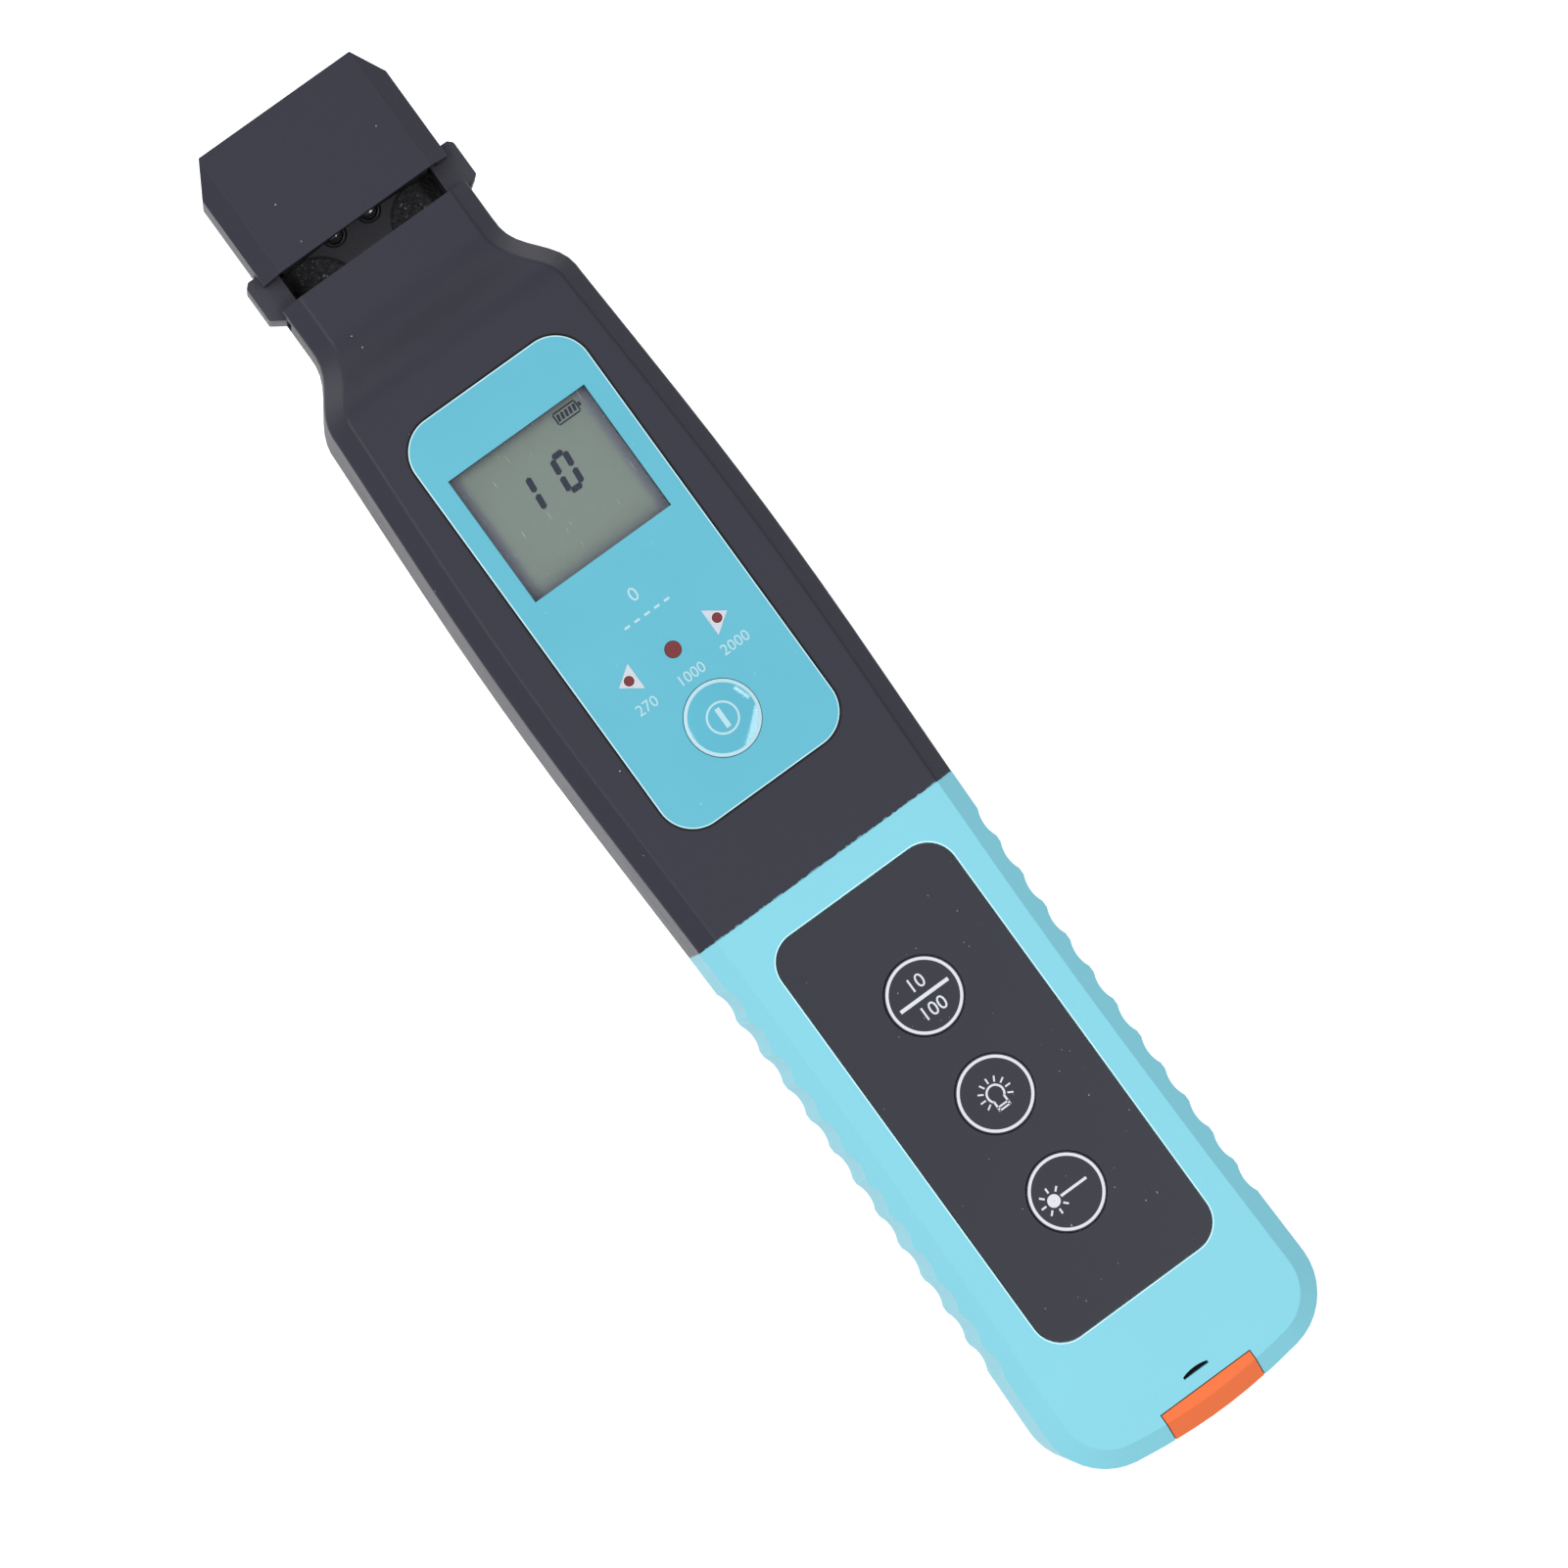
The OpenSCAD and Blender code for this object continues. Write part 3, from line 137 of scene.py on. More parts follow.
# %% [markdown]
# A white surround fills the shadows. One large soft box on the tool's left lights its front and left bevels
# alike and leaves the right ones darker. A weaker one beyond the tail keeps the tail's bevel and the orange
# cover as bright as the front, and another, low beyond the head, opens up the dark shoulder slope. Two
# narrow boxes on the right are there for the domed power key: each leaves a band of light near its rim.

# %% Surround and soft boxes
WORLD_STRENGTH = 0.72
scene = bpy.context.scene
scene.view_settings.view_transform = "Standard"
world = bpy.data.worlds.new("studio")
scene.world = world
world.use_nodes = True
world.node_tree.nodes["Background"].inputs["Color"].default_value = (1, 1, 1, 1)
world.node_tree.nodes["Background"].inputs["Strength"].default_value = WORLD_STRENGTH


def soft_box(name, place, width, height, watts, width_along=(0, 1, 0)):
    """An area light that faces the tool, with its width turned along a direction; metres and watts."""
    data = bpy.data.lights.new(name, "AREA")
    data.shape, data.size, data.size_y, data.energy = "RECTANGLE", width, height, watts
    lamp = bpy.data.objects.new(name, data)
    scene.collection.objects.link(lamp)
    outwards = (Vector(place) - AIM).normalized()
    second = outwards.cross(Vector(width_along)).normalized()
    first = second.cross(outwards)
    lamp.matrix_world = Matrix.Translation(place) @ Matrix((first, second, outwards)).transposed().to_4x4()


soft_box("key_light", place=(-0.72, 0.4, 1.25), width=0.9, height=0.9, watts=15.5)
soft_box("tail_light", place=(-0.1, -0.9, 1.0), width=0.6, height=0.6, watts=5)
soft_box("head_light", place=(-0.1, 1.25, 0.55), width=0.7, height=0.5, watts=3.8)
soft_box("low_band", place=(0.43, -0.36, 1.45), width=0.62, height=0.17, watts=5,
         width_along=(0.765, 0.644, 0))
soft_box("high_band", place=(0.56, 0.16, 1.45), width=0.26, height=0.05, watts=0.7,
         width_along=(-0.352, 0.936, 0))

# %% [markdown]
# The floor is one large pale sheet. It lies well below the tool, so the tool's shadow is too soft to see
# and the battery door on the back has room to open.

# %% Floor
FLOOR_DEPTH = 100 * MM
FLOOR_HALF_WIDTH = 6
floor_bm = bmesh.new()
floor_verts = bmesh.ops.create_grid(floor_bm, x_segments=1, y_segments=1, size=FLOOR_HALF_WIDTH)["verts"]
bmesh.ops.translate(floor_bm, vec=(0, 0, -FLOOR_DEPTH), verts=floor_verts)
floor_mesh = bpy.data.meshes.new("floor")
floor_bm.to_mesh(floor_mesh)
floor_bm.free()
floor = bpy.data.objects.new("floor", floor_mesh)
scene.collection.objects.link(floor)
floor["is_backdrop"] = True
print("floor at", round(-FLOOR_DEPTH / MM), "mm")

# %% [markdown]
# Materials are small networks of nodes. A class that wraps a socket and overloads the operators lets the
# maths be written as plain expressions, and one method makes any other node from its settings and inputs.

# %% Shader helpers
class Value:
    """A socket that can be used in an expression."""

    def __init__(self, paint, socket):
        self.paint, self.socket = paint, socket

    def math(self, operation, *terms):
        return self.paint.add("ShaderNodeMath", {"operation": operation}, dict(enumerate(terms)))

    def __add__(self, other):
        return self.math("ADD", self, other)

    def __mul__(self, other):
        return self.math("MULTIPLY", self, other)

    def __sub__(self, other):
        return self.math("SUBTRACT", self, other)

    def __rsub__(self, other):
        return self.math("SUBTRACT", other, self)

    def __gt__(self, other):
        return self.math("GREATER_THAN", self, other)

    def __lt__(self, other):
        return self.math("LESS_THAN", self, other)

    __radd__ = __add__
    __rmul__ = __mul__


class Paint:
    """A material whose constants sit on the shader's own sockets."""

    def __init__(self, name, colour, roughness, **constants):
        self.material = bpy.data.materials.new(name)
        self.material.use_nodes = True
        self.tree = self.material.node_tree
        self.shader = self.tree.nodes["Principled BSDF"]
        self.colour = colour
        self.set("Base Color", (*colour, 1))
        self.set("Roughness", roughness)
        for socket, value in constants.items():
            self.set(socket.replace("_", " ").title().replace("Ior", "IOR"), value)
        self.place = self.add("ShaderNodeTexCoord", out="Object")

    def set(self, socket, value):
        if isinstance(value, Value):
            self.tree.links.new(value.socket, self.shader.inputs[socket])
        else:
            self.shader.inputs[socket].default_value = value

    def add(self, kind, settings=None, inputs=None, out=0):
        """Any node, from its settings and the values or links of its sockets."""
        node = self.tree.nodes.new(kind)
        for key, value in (settings or {}).items():
            setattr(node, key, value)
        for key, value in (inputs or {}).items():
            if isinstance(value, Value):
                self.tree.links.new(value.socket, node.inputs[key])
            else:
                node.inputs[key].default_value = value
        return Value(self, node.outputs[out])

    def vector(self, operation, *terms, out=0):
        return self.add("ShaderNodeVectorMath", {"operation": operation}, dict(enumerate(terms)), out)

    def radius(self, centre):
        """The distance along the front face from a point, in metres."""
        reach = self.vector("MULTIPLY", self.vector("SUBTRACT", self.place, centre), (1, 1, 0))
        return self.vector("LENGTH", reach, out=1)

    def outside(self, node, corner):
        """The distance out from the edge of a panel with rounded corners, in metres; less than 0 inside."""
        low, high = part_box(node)
        half = ((high.x - low.x) / 2 - corner, (high.y - low.y) / 2 - corner, 1)
        reach = self.vector("ABSOLUTE", self.vector("SUBTRACT", self.place, (low + high) / 2))
        past = self.vector("MAXIMUM", self.vector("SUBTRACT", reach, half), (0, 0, 0))
        return self.vector("LENGTH", past, out=1) - corner

    def along(self, axis):
        """The place along X, Y or Z, in metres."""
        return self.add("ShaderNodeSeparateXYZ", None, {0: self.place}, out="XYZ".index(axis))

    def ramp(self, value, start, end):
        """A smooth step from 0 at the start to 1 at the end."""
        return self.add("ShaderNodeMapRange", {"interpolation_type": "SMOOTHSTEP"},
                        {"Value": value, "From Min": start, "From Max": end})

    def noise(self, scale, detail=2, stretch=None):
        place = self.place
        if stretch:
            place = self.add("ShaderNodeMapping", None, {"Vector": place, "Scale": stretch})
        inputs = {"Vector": place, "Scale": scale, "Detail": detail}
        return self.add("ShaderNodeTexNoise", None, inputs, "Fac")

    def specks(self, cells=500.0, share=0.14, size=0.05):
        """Dust: a small dot in a share of the cells that fill the space."""
        place = {"Vector": self.place, "Scale": cells}
        distance = self.add("ShaderNodeTexVoronoi", None, place, "Distance")
        tint = self.add("ShaderNodeTexVoronoi", None, place, "Color")
        chance = self.add("ShaderNodeSeparateColor", None, {0: tint})
        return (distance < chance * size) * (chance > 1 - share)

    def mix(self, factor, first, second):
        """A mix of two colours."""
        wanted = {0: factor, 6: first, 7: second}
        wanted = {k: (*v, 1) if isinstance(v, tuple) else v for k, v in wanted.items()}
        return self.add("ShaderNodeMix", {"data_type": "RGBA"}, wanted, out=2)

    def bump(self, height, depth):
        self.set("Normal", self.add("ShaderNodeBump", None, {"Height": height, "Distance": depth}))

    def shades(self, factor, darkest, lightest):
        """The paint's colour between two brightnesses."""
        dark = tuple(c * darkest for c in self.colour)
        light = tuple(min(1, c * lightest) for c in self.colour)
        return self.mix(factor, dark, light)


print("helpers ready")

# %% [markdown]
# The body is a soft-touch plastic. Seen close it has a very fine grain, broad faint clouds of wear, and a
# few specks of dust. The grain is a bump, so that it breaks up the light only. Colours are given as the
# shade that is seen, and a function takes off the gloss and the strength of the light.

# %% Moulded plastics
FULL_LIGHT = 1.75
GAMMA = 2.2
GLOSS, GLOSS_LEVEL = 0.026, 0.28
DARKEST = 0.004
DUST = (0.6, 0.62, 0.65)
PLASTIC_IOR = 1.46
CLOUD_SCALE, GRAIN_SCALE = 45, 2600
CLOUD_SHARE, GRAIN_SHARE = 0.7, 0.3
CLOUD_ROUGHNESS = 0.12


def lit(r, g, b):
    """A base colour for the shade that is seen, from 0 to 255: less the gloss, and less than full light."""
    return tuple(max(DARKEST, (c / 255) ** GAMMA - GLOSS) / FULL_LIGHT for c in (r, g, b))


def moulded(name, colour, roughness, grain=0.02 * MM, dust=0.5, clouds=0.07, details=()):
    paint = Paint(name, colour, roughness, ior=PLASTIC_IOR, specular_ior_level=GLOSS_LEVEL)
    cloud = paint.noise(CLOUD_SCALE, detail=3)
    fine = paint.noise(GRAIN_SCALE)
    tone = paint.shades(cloud * CLOUD_SHARE + fine * GRAIN_SHARE, 1 - clouds, 1 + clouds)
    tone = paint.mix(paint.specks() * dust, tone, DUST)
    for detail in details:
        tone = detail(paint, tone)
    paint.set("Base Color", tone)
    paint.set("Roughness", cloud * CLOUD_ROUGHNESS + (roughness - CLOUD_ROUGHNESS / 2))
    paint.bump(fine, grain)
    return paint.material


print("full light:", FULL_LIGHT)

# %% [markdown]
# Small things give a moulded body away. The cyan shot meets the black one in a slightly ragged line. The
# others are painted light and shade: the gap round a panel is painted nearly black on black plastic as its
# shade, the edge of its pocket gets a painted highlight on cyan plastic where it catches the light, the
# cover's soft tongue, seen only through its slit, is painted black as the shade in the slit, and the fibre
# guide is painted paler at its floor than at its ears, as light reaching the deep slot. Each is a function
# that takes the colour so far and returns another.

# %% Details of the body
BLACK = lit(64, 64, 74)
CYAN = lit(142, 220, 238)
ORANGE = lit(254, 124, 72)
UPPER_CORNER, LOWER_CORNER = 5.5 * MM, 4.5 * MM
FRONT_Z = 20 * MM
GAP_SHADE_REACH, GAP_SHADE_STRENGTH = 0.35 * MM, 0.9
POCKET_REACH, POCKET_STRENGTH, POCKET_HIGHLIGHT = 0.3 * MM, 0.5, (0.7, 0.9, 0.95)
SEAM_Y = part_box("front_grip")[1].y
SEAM_RAGGED_MM, SEAM_BACK_MM, SEAM_STRENGTH = 0.7, 0.26, 0.8
SEAM_SCALE, SEAM_SHADE = 1500, 0.6
TONGUE_PAST_PIN = 2 * MM
TONGUE_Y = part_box("cover_pin")[1].y + TONGUE_PAST_PIN
PALE_FROM, PALE_TO = 1 * MM, 5 * MM
LIT_GUIDE_FLOOR = (0.042, 0.042, 0.052)


def ragged_seam(paint, tone):
    edge = paint.noise(SEAM_SCALE) * SEAM_RAGGED_MM * MM + (SEAM_Y - SEAM_BACK_MM * MM)
    flecks = paint.along("Y") < edge
    return paint.mix(flecks * SEAM_STRENGTH, tone, tuple(SEAM_SHADE * c for c in CYAN))


def near_panel(paint, node, corner, reach):
    """1 on the front face within a reach of a panel, else 0."""
    return (paint.outside(node, corner) < reach) * (paint.along("Z") > FRONT_Z)


# Painted shade: black plastic is painted nearly black near the upper panel, for the shade in the gap round
# it.
def painted_gap_shade(paint, tone):
    gap_shade = near_panel(paint, "upper_overlay", UPPER_CORNER, GAP_SHADE_REACH)
    return paint.mix(gap_shade * GAP_SHADE_STRENGTH, tone, (0, 0, 0))


# Painted highlight: cyan plastic is painted paler along the lower panel's pocket edge, as light on it.
def painted_pocket_highlight(paint, tone):
    edge = near_panel(paint, "lower_overlay", LOWER_CORNER, POCKET_REACH)
    return paint.mix(edge * POCKET_STRENGTH, tone, POCKET_HIGHLIGHT)


# Painted shade: the cover's tongue, seen only through its slit, is painted black for the shade in the slit.
def tongue_painted_shade(paint, tone):
    return paint.mix(paint.along("Y") > TONGUE_Y, tone, BLACK)


# Painted light: the guide is painted paler towards its floor, as if more light reached the deep slot.
def painted_floor_light(paint, tone):
    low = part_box("fibre_guide")[0]
    deep = 1 - paint.ramp(paint.along("Z"), low.z + PALE_FROM, low.z + PALE_TO)
    return paint.mix(deep, tone, LIT_GUIDE_FLOOR)


black_plastic = moulded("black_soft_plastic", BLACK, 0.5, details=(ragged_seam, painted_gap_shade))
cyan_plastic = moulded("cyan_soft_plastic", CYAN, 0.55, dust=0.12, clouds=0.03, details=(painted_pocket_highlight,))
orange_plastic = moulded("orange_plastic", ORANGE, 0.45, dust=0, clouds=0.03, details=(tongue_painted_shade,))
# The guide's grey is painted paler than the body's black and paler still at its floor: painted light in the
# slot.
guide_plastic = moulded("guide_plastic", lit(72, 72, 80), 0.5, grain=0.05 * MM, details=(painted_floor_light,))
print("plastics:", [m.name for m in bpy.data.materials])

# %% [markdown]
# The two panels are printed films: smoother than the body, with a few short scuffs. A scuff is a noise
# that is stretched along one direction and cut off at its peaks. The cut edge of the cyan film is paler: its
# own pale edge, with a painted highlight along it.
# The resin of the domed key is made the same way, and the inks are a plain plastic.

# %% Printed films
FILM_IOR = 1.5
FILM_CLOUD_SCALE, FILM_CLOUDS, FILM_CLOUD_ROUGHNESS = 60, 0.04, 0.1
SCUFF_SCALE, SCUFF_STRETCH, SCUFF_PEAK, SCUFF_ROUGHNESS = 3200, (1, 0.3, 1), 0.8, 0.3
FILM_SPECKS = {"cells": 650.0, "share": 0.12, "size": 0.045}
RIPPLE_SCALE = 900
CUT_EDGE_W, CUT_EDGE_STRENGTH, CUT_EDGE = 0.18 * MM, 0.45, (0.75, 0.85, 0.88)


def film(name, colour, roughness, scratches=0.25, ripple=0.003 * MM, details=()):
    paint = Paint(name, colour, roughness, ior=FILM_IOR, specular_ior_level=GLOSS_LEVEL)
    cloud = paint.noise(FILM_CLOUD_SCALE)
    streak = paint.noise(SCUFF_SCALE, detail=1, stretch=SCUFF_STRETCH)
    scratch = (streak > SCUFF_PEAK) * scratches + paint.specks(**FILM_SPECKS) * scratches
    tone = paint.mix(scratch, paint.shades(cloud, 1 - FILM_CLOUDS, 1 + FILM_CLOUDS), DUST)
    for detail in details:
        tone = detail(paint, tone)
    paint.set("Base Color", tone)
    paint.set("Roughness", cloud * FILM_CLOUD_ROUGHNESS + roughness - FILM_CLOUD_ROUGHNESS / 2
              + scratch * SCUFF_ROUGHNESS)
    if ripple:
        paint.bump(paint.noise(RIPPLE_SCALE), ripple)
    return paint.material


# Partly painted highlight: the cyan film is painted paler near its edge, for its pale cut edge and light on
# it.
def pale_edge_and_highlight(paint, tone):
    edge = paint.outside("upper_overlay", UPPER_CORNER) > -CUT_EDGE_W
    return paint.mix(edge * CUT_EDGE_STRENGTH, tone, CUT_EDGE)


cyan_film = film("cyan_film", lit(109, 194, 216), 0.34, details=(pale_edge_and_highlight,))
black_film = film("black_film", lit(61, 62, 70), 0.4, scratches=0.4)
dome_resin = film("dome_resin", lit(108, 193, 216), 0.07, scratches=0.1, ripple=0)
key_white = moulded("white_print", lit(232, 234, 242), 0.5, dust=0, clouds=0.02)
panel_white = moulded("soft_white_print", lit(193, 230, 241), 0.45, dust=0, clouds=0.02)
arrow_white = moulded("arrow_print", lit(214, 222, 236), 0.45, dust=0, clouds=0.02)
print("films and inks done")

# %% [markdown]
# Turned and drawn metal shows fine streaks along its length. A noise that is stretched along one axis gives
# them, and it changes both the brightness and the roughness.

# %% Metals
STREAK_SCALE, STREAK_ROUGHNESS = 1600, 0.2
STREAK_DARKEST, STREAK_LIGHTEST = 0.85, 1.1


def metal(name, colour, roughness, stretch=(1, 0.05, 1)):
    paint = Paint(name, colour, roughness, metallic=1.0)
    streak = paint.noise(STREAK_SCALE, stretch=stretch)
    paint.set("Base Color", paint.shades(streak, STREAK_DARKEST, STREAK_LIGHTEST))
    paint.set("Roughness", streak * STREAK_ROUGHNESS + roughness - STREAK_ROUGHNESS / 2)
    return paint.material


steel = metal("bright_steel", (0.62, 0.63, 0.65), 0.3)
brass = metal("turned_brass", (0.62, 0.46, 0.2), 0.3, stretch=(0.05, 1, 0.05))
print("metals done")

# %% [markdown]
# The foam in the slot is coarse and black. Its open pores are a cell pattern, used for the tone and as a
# bump, and a few peaks of a noise glint. It darkens round its rim and beside the ears, where no light
# comes in.

# %% Foam
foam_low, foam_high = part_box("foam_pads")
FOAM_R = (foam_high.y - foam_low.y) / 2
FOAM_X, FOAM_Y = 9.6 * MM, foam_low.y + FOAM_R
FOAM_END = 11.5 * MM
RIM_SHADOW, END_SHADOW, RIM_STRENGTH = 0.5 * MM, 0.9 * MM, 0.9
FOAM_SHADOW = (0.002, 0.002, 0.002)
PORE_SCALE, PORE_DEPTH = 1900.0, 0.25 * MM
PORE_DARKEST, PORE_LIGHTEST = 0.3, 2.2
GLINT_SCALE, GLINT_PEAK, GLINT_STRENGTH, GLINT = 2300, 0.7, 0.6, (0.3, 0.3, 0.34)


def foam_material():
    paint = Paint("open_cell_foam", (0.018, 0.018, 0.021), 0.8)
    pore = paint.add("ShaderNodeTexVoronoi", None, {"Vector": paint.place, "Scale": PORE_SCALE}, "Distance")
    glint = (paint.noise(GLINT_SCALE, detail=1) > GLINT_PEAK) * GLINT_STRENGTH
    tone = paint.mix(glint, paint.shades(pore, PORE_DARKEST, PORE_LIGHTEST), GLINT)
    for side in (-1, 1):
        rim = paint.ramp(paint.radius((side * FOAM_X, FOAM_Y, 0)), FOAM_R - RIM_SHADOW, FOAM_R)
        on_side = paint.along("X") * side > 0
        tone = paint.mix(rim * on_side * RIM_STRENGTH, tone, FOAM_SHADOW)
        end = paint.ramp(paint.along("X") * side, FOAM_END - END_SHADOW, FOAM_END)
        tone = paint.mix(end, tone, FOAM_SHADOW)
    paint.set("Base Color", tone)
    paint.bump(pore, PORE_DEPTH)
    return paint.material


foam = foam_material()
print("foam radius:", round(FOAM_R / MM, 2), "mm")

# %% [markdown]
# The window is clear, so it is nearly transparent and only adds a reflection and a few slanted scratches.
# The display under it is grey-green glass with a soft mottle. Its light falls off towards the frame, by a
# different amount on each side, because the frame stands above the glass and the light comes from the left.

# %% Window and display
WINDOW_BLACK, SCRATCH_WHITE = (0.02, 0.02, 0.02), (0.8, 0.82, 0.8)
SCRATCH_SLANT, SCRATCH_STRETCH, SCRATCH_SCALE, SCRATCH_PEAK = -0.5, (1, 0.06, 1), 5000.0, 0.74
PATCH_SCALE, PATCH_PEAK = 150, 0.5
CLEAR_ALPHA, SCRATCH_ALPHA = 0.05, 0.14
WIPE_SCALE, WIPE_ROUGHNESS, WINDOW_ROUGHNESS = 80, 0.05, 0.04
MOTTLE_SCALE, MOTTLE_SHARE, MOTTLE = 700, 0.6, 0.08
BROAD_SCALE = 60
SHADED_GLASS = lit(122, 127, 140)
# How far inside each edge of the window the shade begins and is full; less than 0 lies outside
LEFT_FROM, LEFT_TO = 2.1 * MM, 0.9 * MM
RIGHT_FROM, RIGHT_TO, RIGHT_SHADE = 1.9 * MM, 0.9 * MM, 0.9
HEAD_FROM, HEAD_TO, HEAD_SHADE = 1 * MM, -0.2 * MM, 0.7
TAIL_FROM, TAIL_TO, TAIL_SHADE = 2.2 * MM, -0.3 * MM, 0.8


def window_material():
    paint = Paint("clear_window", WINDOW_BLACK, 0.06, ior=FILM_IOR)
    slanted = paint.add("ShaderNodeMapping", None, {
        "Vector": paint.place, "Rotation": (0, 0, SCRATCH_SLANT), "Scale": SCRATCH_STRETCH})
    streak = paint.add("ShaderNodeTexNoise", None, {"Vector": slanted, "Scale": SCRATCH_SCALE, "Detail": 1})
    scratch = (streak > SCRATCH_PEAK) * (paint.noise(PATCH_SCALE, detail=1) > PATCH_PEAK)
    paint.set("Base Color", paint.mix(scratch, WINDOW_BLACK, SCRATCH_WHITE))
    paint.set("Alpha", scratch * SCRATCH_ALPHA + CLEAR_ALPHA)
    paint.set("Roughness", paint.noise(WIPE_SCALE) * WIPE_ROUGHNESS + WINDOW_ROUGHNESS)
    return paint.material


def display_material():
    paint = Paint("display_glass", lit(137, 151, 144), 0.35)
    low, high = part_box("lcd_window")
    mottle = (paint.noise(MOTTLE_SCALE, detail=3) * MOTTLE_SHARE
              + paint.noise(BROAD_SCALE, detail=1) * (1 - MOTTLE_SHARE))
    tone = paint.shades(mottle, 1 - MOTTLE, 1 + MOTTLE)
    left = paint.ramp(paint.along("X"), low.x + LEFT_FROM, low.x + LEFT_TO)
    right = paint.ramp(paint.along("X"), high.x - RIGHT_FROM, high.x - RIGHT_TO)
    head = paint.ramp(paint.along("Y"), high.y - HEAD_FROM, high.y - HEAD_TO)
    tail = paint.ramp(paint.along("Y"), low.y + TAIL_FROM, low.y + TAIL_TO)
    shade = left + right * RIGHT_SHADE + head * HEAD_SHADE + tail * TAIL_SHADE
    shade = paint.add("ShaderNodeClamp", None, {"Value": shade})
    paint.set("Base Color", paint.mix(shade, tone, SHADED_GLASS))
    return paint.material


clear_window = window_material()
display = display_material()
print("window and display done")

# %% [markdown]
# A circuit board is green, with faint tracks from a brick pattern, a detector is dark glass in a nearly
# black rim, whose black is deepened as painted shade in its recess, and the floor is a pale grey that a very
# broad noise keeps from being flat. The finishes that are left are plain plastics, a smooth white ceramic,
# and films for the red light pipes and the cells.

# %% Boards, detectors, floor and plain finishes
MASK_GREEN, TRACK_GREEN = (0.02, 0.13, 0.06), (0.05, 0.24, 0.12)
TRACK_PATTERN, TRACK_OFFSET = {"Scale": 260.0, "Mortar Size": 0.04}, 0.3
LENS_IOR, LENS_CLOUD_SCALE, LENS_SPREAD, LENS_SMOOTHEST = 1.6, 900, 0.2, 0.08
LENS_GRAIN_SCALE, LENS_GRAIN = 1500, 0.06 * MM
FLOOR_GREY, FLOOR_CLOUD_SCALE, FLOOR_CLOUDS = (0.94, 0.94, 0.94), 3, 0.01


def board_material():
    paint = Paint("solder_mask", MASK_GREEN, 0.35)
    tracks = paint.add("ShaderNodeTexBrick", {"offset": TRACK_OFFSET},
                       {"Vector": paint.place, **TRACK_PATTERN}, "Fac")
    paint.set("Base Color", paint.mix(tracks, MASK_GREEN, TRACK_GREEN))
    return paint.material


board = board_material()
ink = moulded("display_ink", lit(66, 71, 84), 0.5, dust=0, clouds=0.1)
white_plastic = moulded("white_plastic", (0.62, 0.62, 0.6), 0.45, dust=0)
ceramic = moulded("zirconia", (0.75, 0.75, 0.7), 0.15, grain=0.002 * MM, dust=0, clouds=0.02)
led_red = film("red_light_pipe", lit(132, 72, 74), 0.25, scratches=0)
lens = Paint("detector_lens", (0.03, 0.03, 0.036), 0.16, ior=LENS_IOR)
lens.set("Roughness", lens.noise(LENS_CLOUD_SCALE) * LENS_SPREAD + LENS_SMOOTHEST)
lens.bump(lens.noise(LENS_GRAIN_SCALE, detail=1), LENS_GRAIN)
# Painted shade: the rim is darker than black plastic, for the shade in the recess round the dome.
black_rim_and_shade = Paint("detector_rim", (0.003, 0.003, 0.004), 0.35).material
jacket = film("cell_jacket", (0.03, 0.03, 0.035), 0.35)
pale = Paint("pale_floor", FLOOR_GREY, 0.8)
pale.set("Base Color", pale.shades(pale.noise(FLOOR_CLOUD_SCALE), 1 - FLOOR_CLOUDS, 1 + FLOOR_CLOUDS))
floor.data.materials.append(pale.material)
print("materials:", len(bpy.data.materials))

# %% [markdown]
# Every CAD node gets its finish first. The pieces that replace a node later take the same material again.

# %% Finish the CAD nodes
FINISH = {
    "front_shell": black_plastic, "rear_shell": black_plastic, "head_cap": black_plastic,
    "front_grip": cyan_plastic, "rear_grip": cyan_plastic, "battery_door": cyan_plastic,
    "upper_overlay": cyan_film, "lower_overlay": black_film, "power_key": dome_resin,
    "units_key": black_film, "light_key": black_film, "laser_key": black_film,
    "port_cover": orange_plastic, "lcd_window": clear_window, "lcd_panel": display,
    "lcd_holder": white_plastic, "light_pipes": led_red, "indicator_leds": white_plastic,
    "key_switches": steel, "main_board": board, "preamp_board": board, "fibre_guide": guide_plastic,
    "foam_pads": foam, "detector_lenses": lens.material, "photodiodes": black_film,
    "fixed_jaw": black_plastic, "fixed_jaw_liner": foam, "moving_jaw": black_plastic,
    "moving_jaw_pad": foam, "carriage": steel, "return_spring": steel, "trigger": black_plastic,
    "trigger_screw": steel, "laser_module": brass, "laser_port": steel, "ferrule_sleeve": ceramic,
    "cover_pin": steel, "battery_left": jacket, "battery_right": jacket, "battery_contacts": steel,
    "battery_springs": steel, "housing_screws": steel, "cap_screws": steel, "board_screws": steel,
}
for node, material in FINISH.items():
    nodes[node].data.materials.clear()
    nodes[node].data.materials.append(material)
print("nodes without a finish:", sorted(set(nodes) - set(FINISH)))

# %% [markdown]
# Every new piece ends the same way: its bmesh becomes a mesh with smooth faces and sharp corners, a modifier
# keeps the flat faces flat, the piece is told which body it rides on and which slot its material has, and
# the CAD node it stands for, if any, is hidden.

# %% Finish a mesh
SMOOTH_UNDER = math.radians(28)
WELD = 0.002 * MM


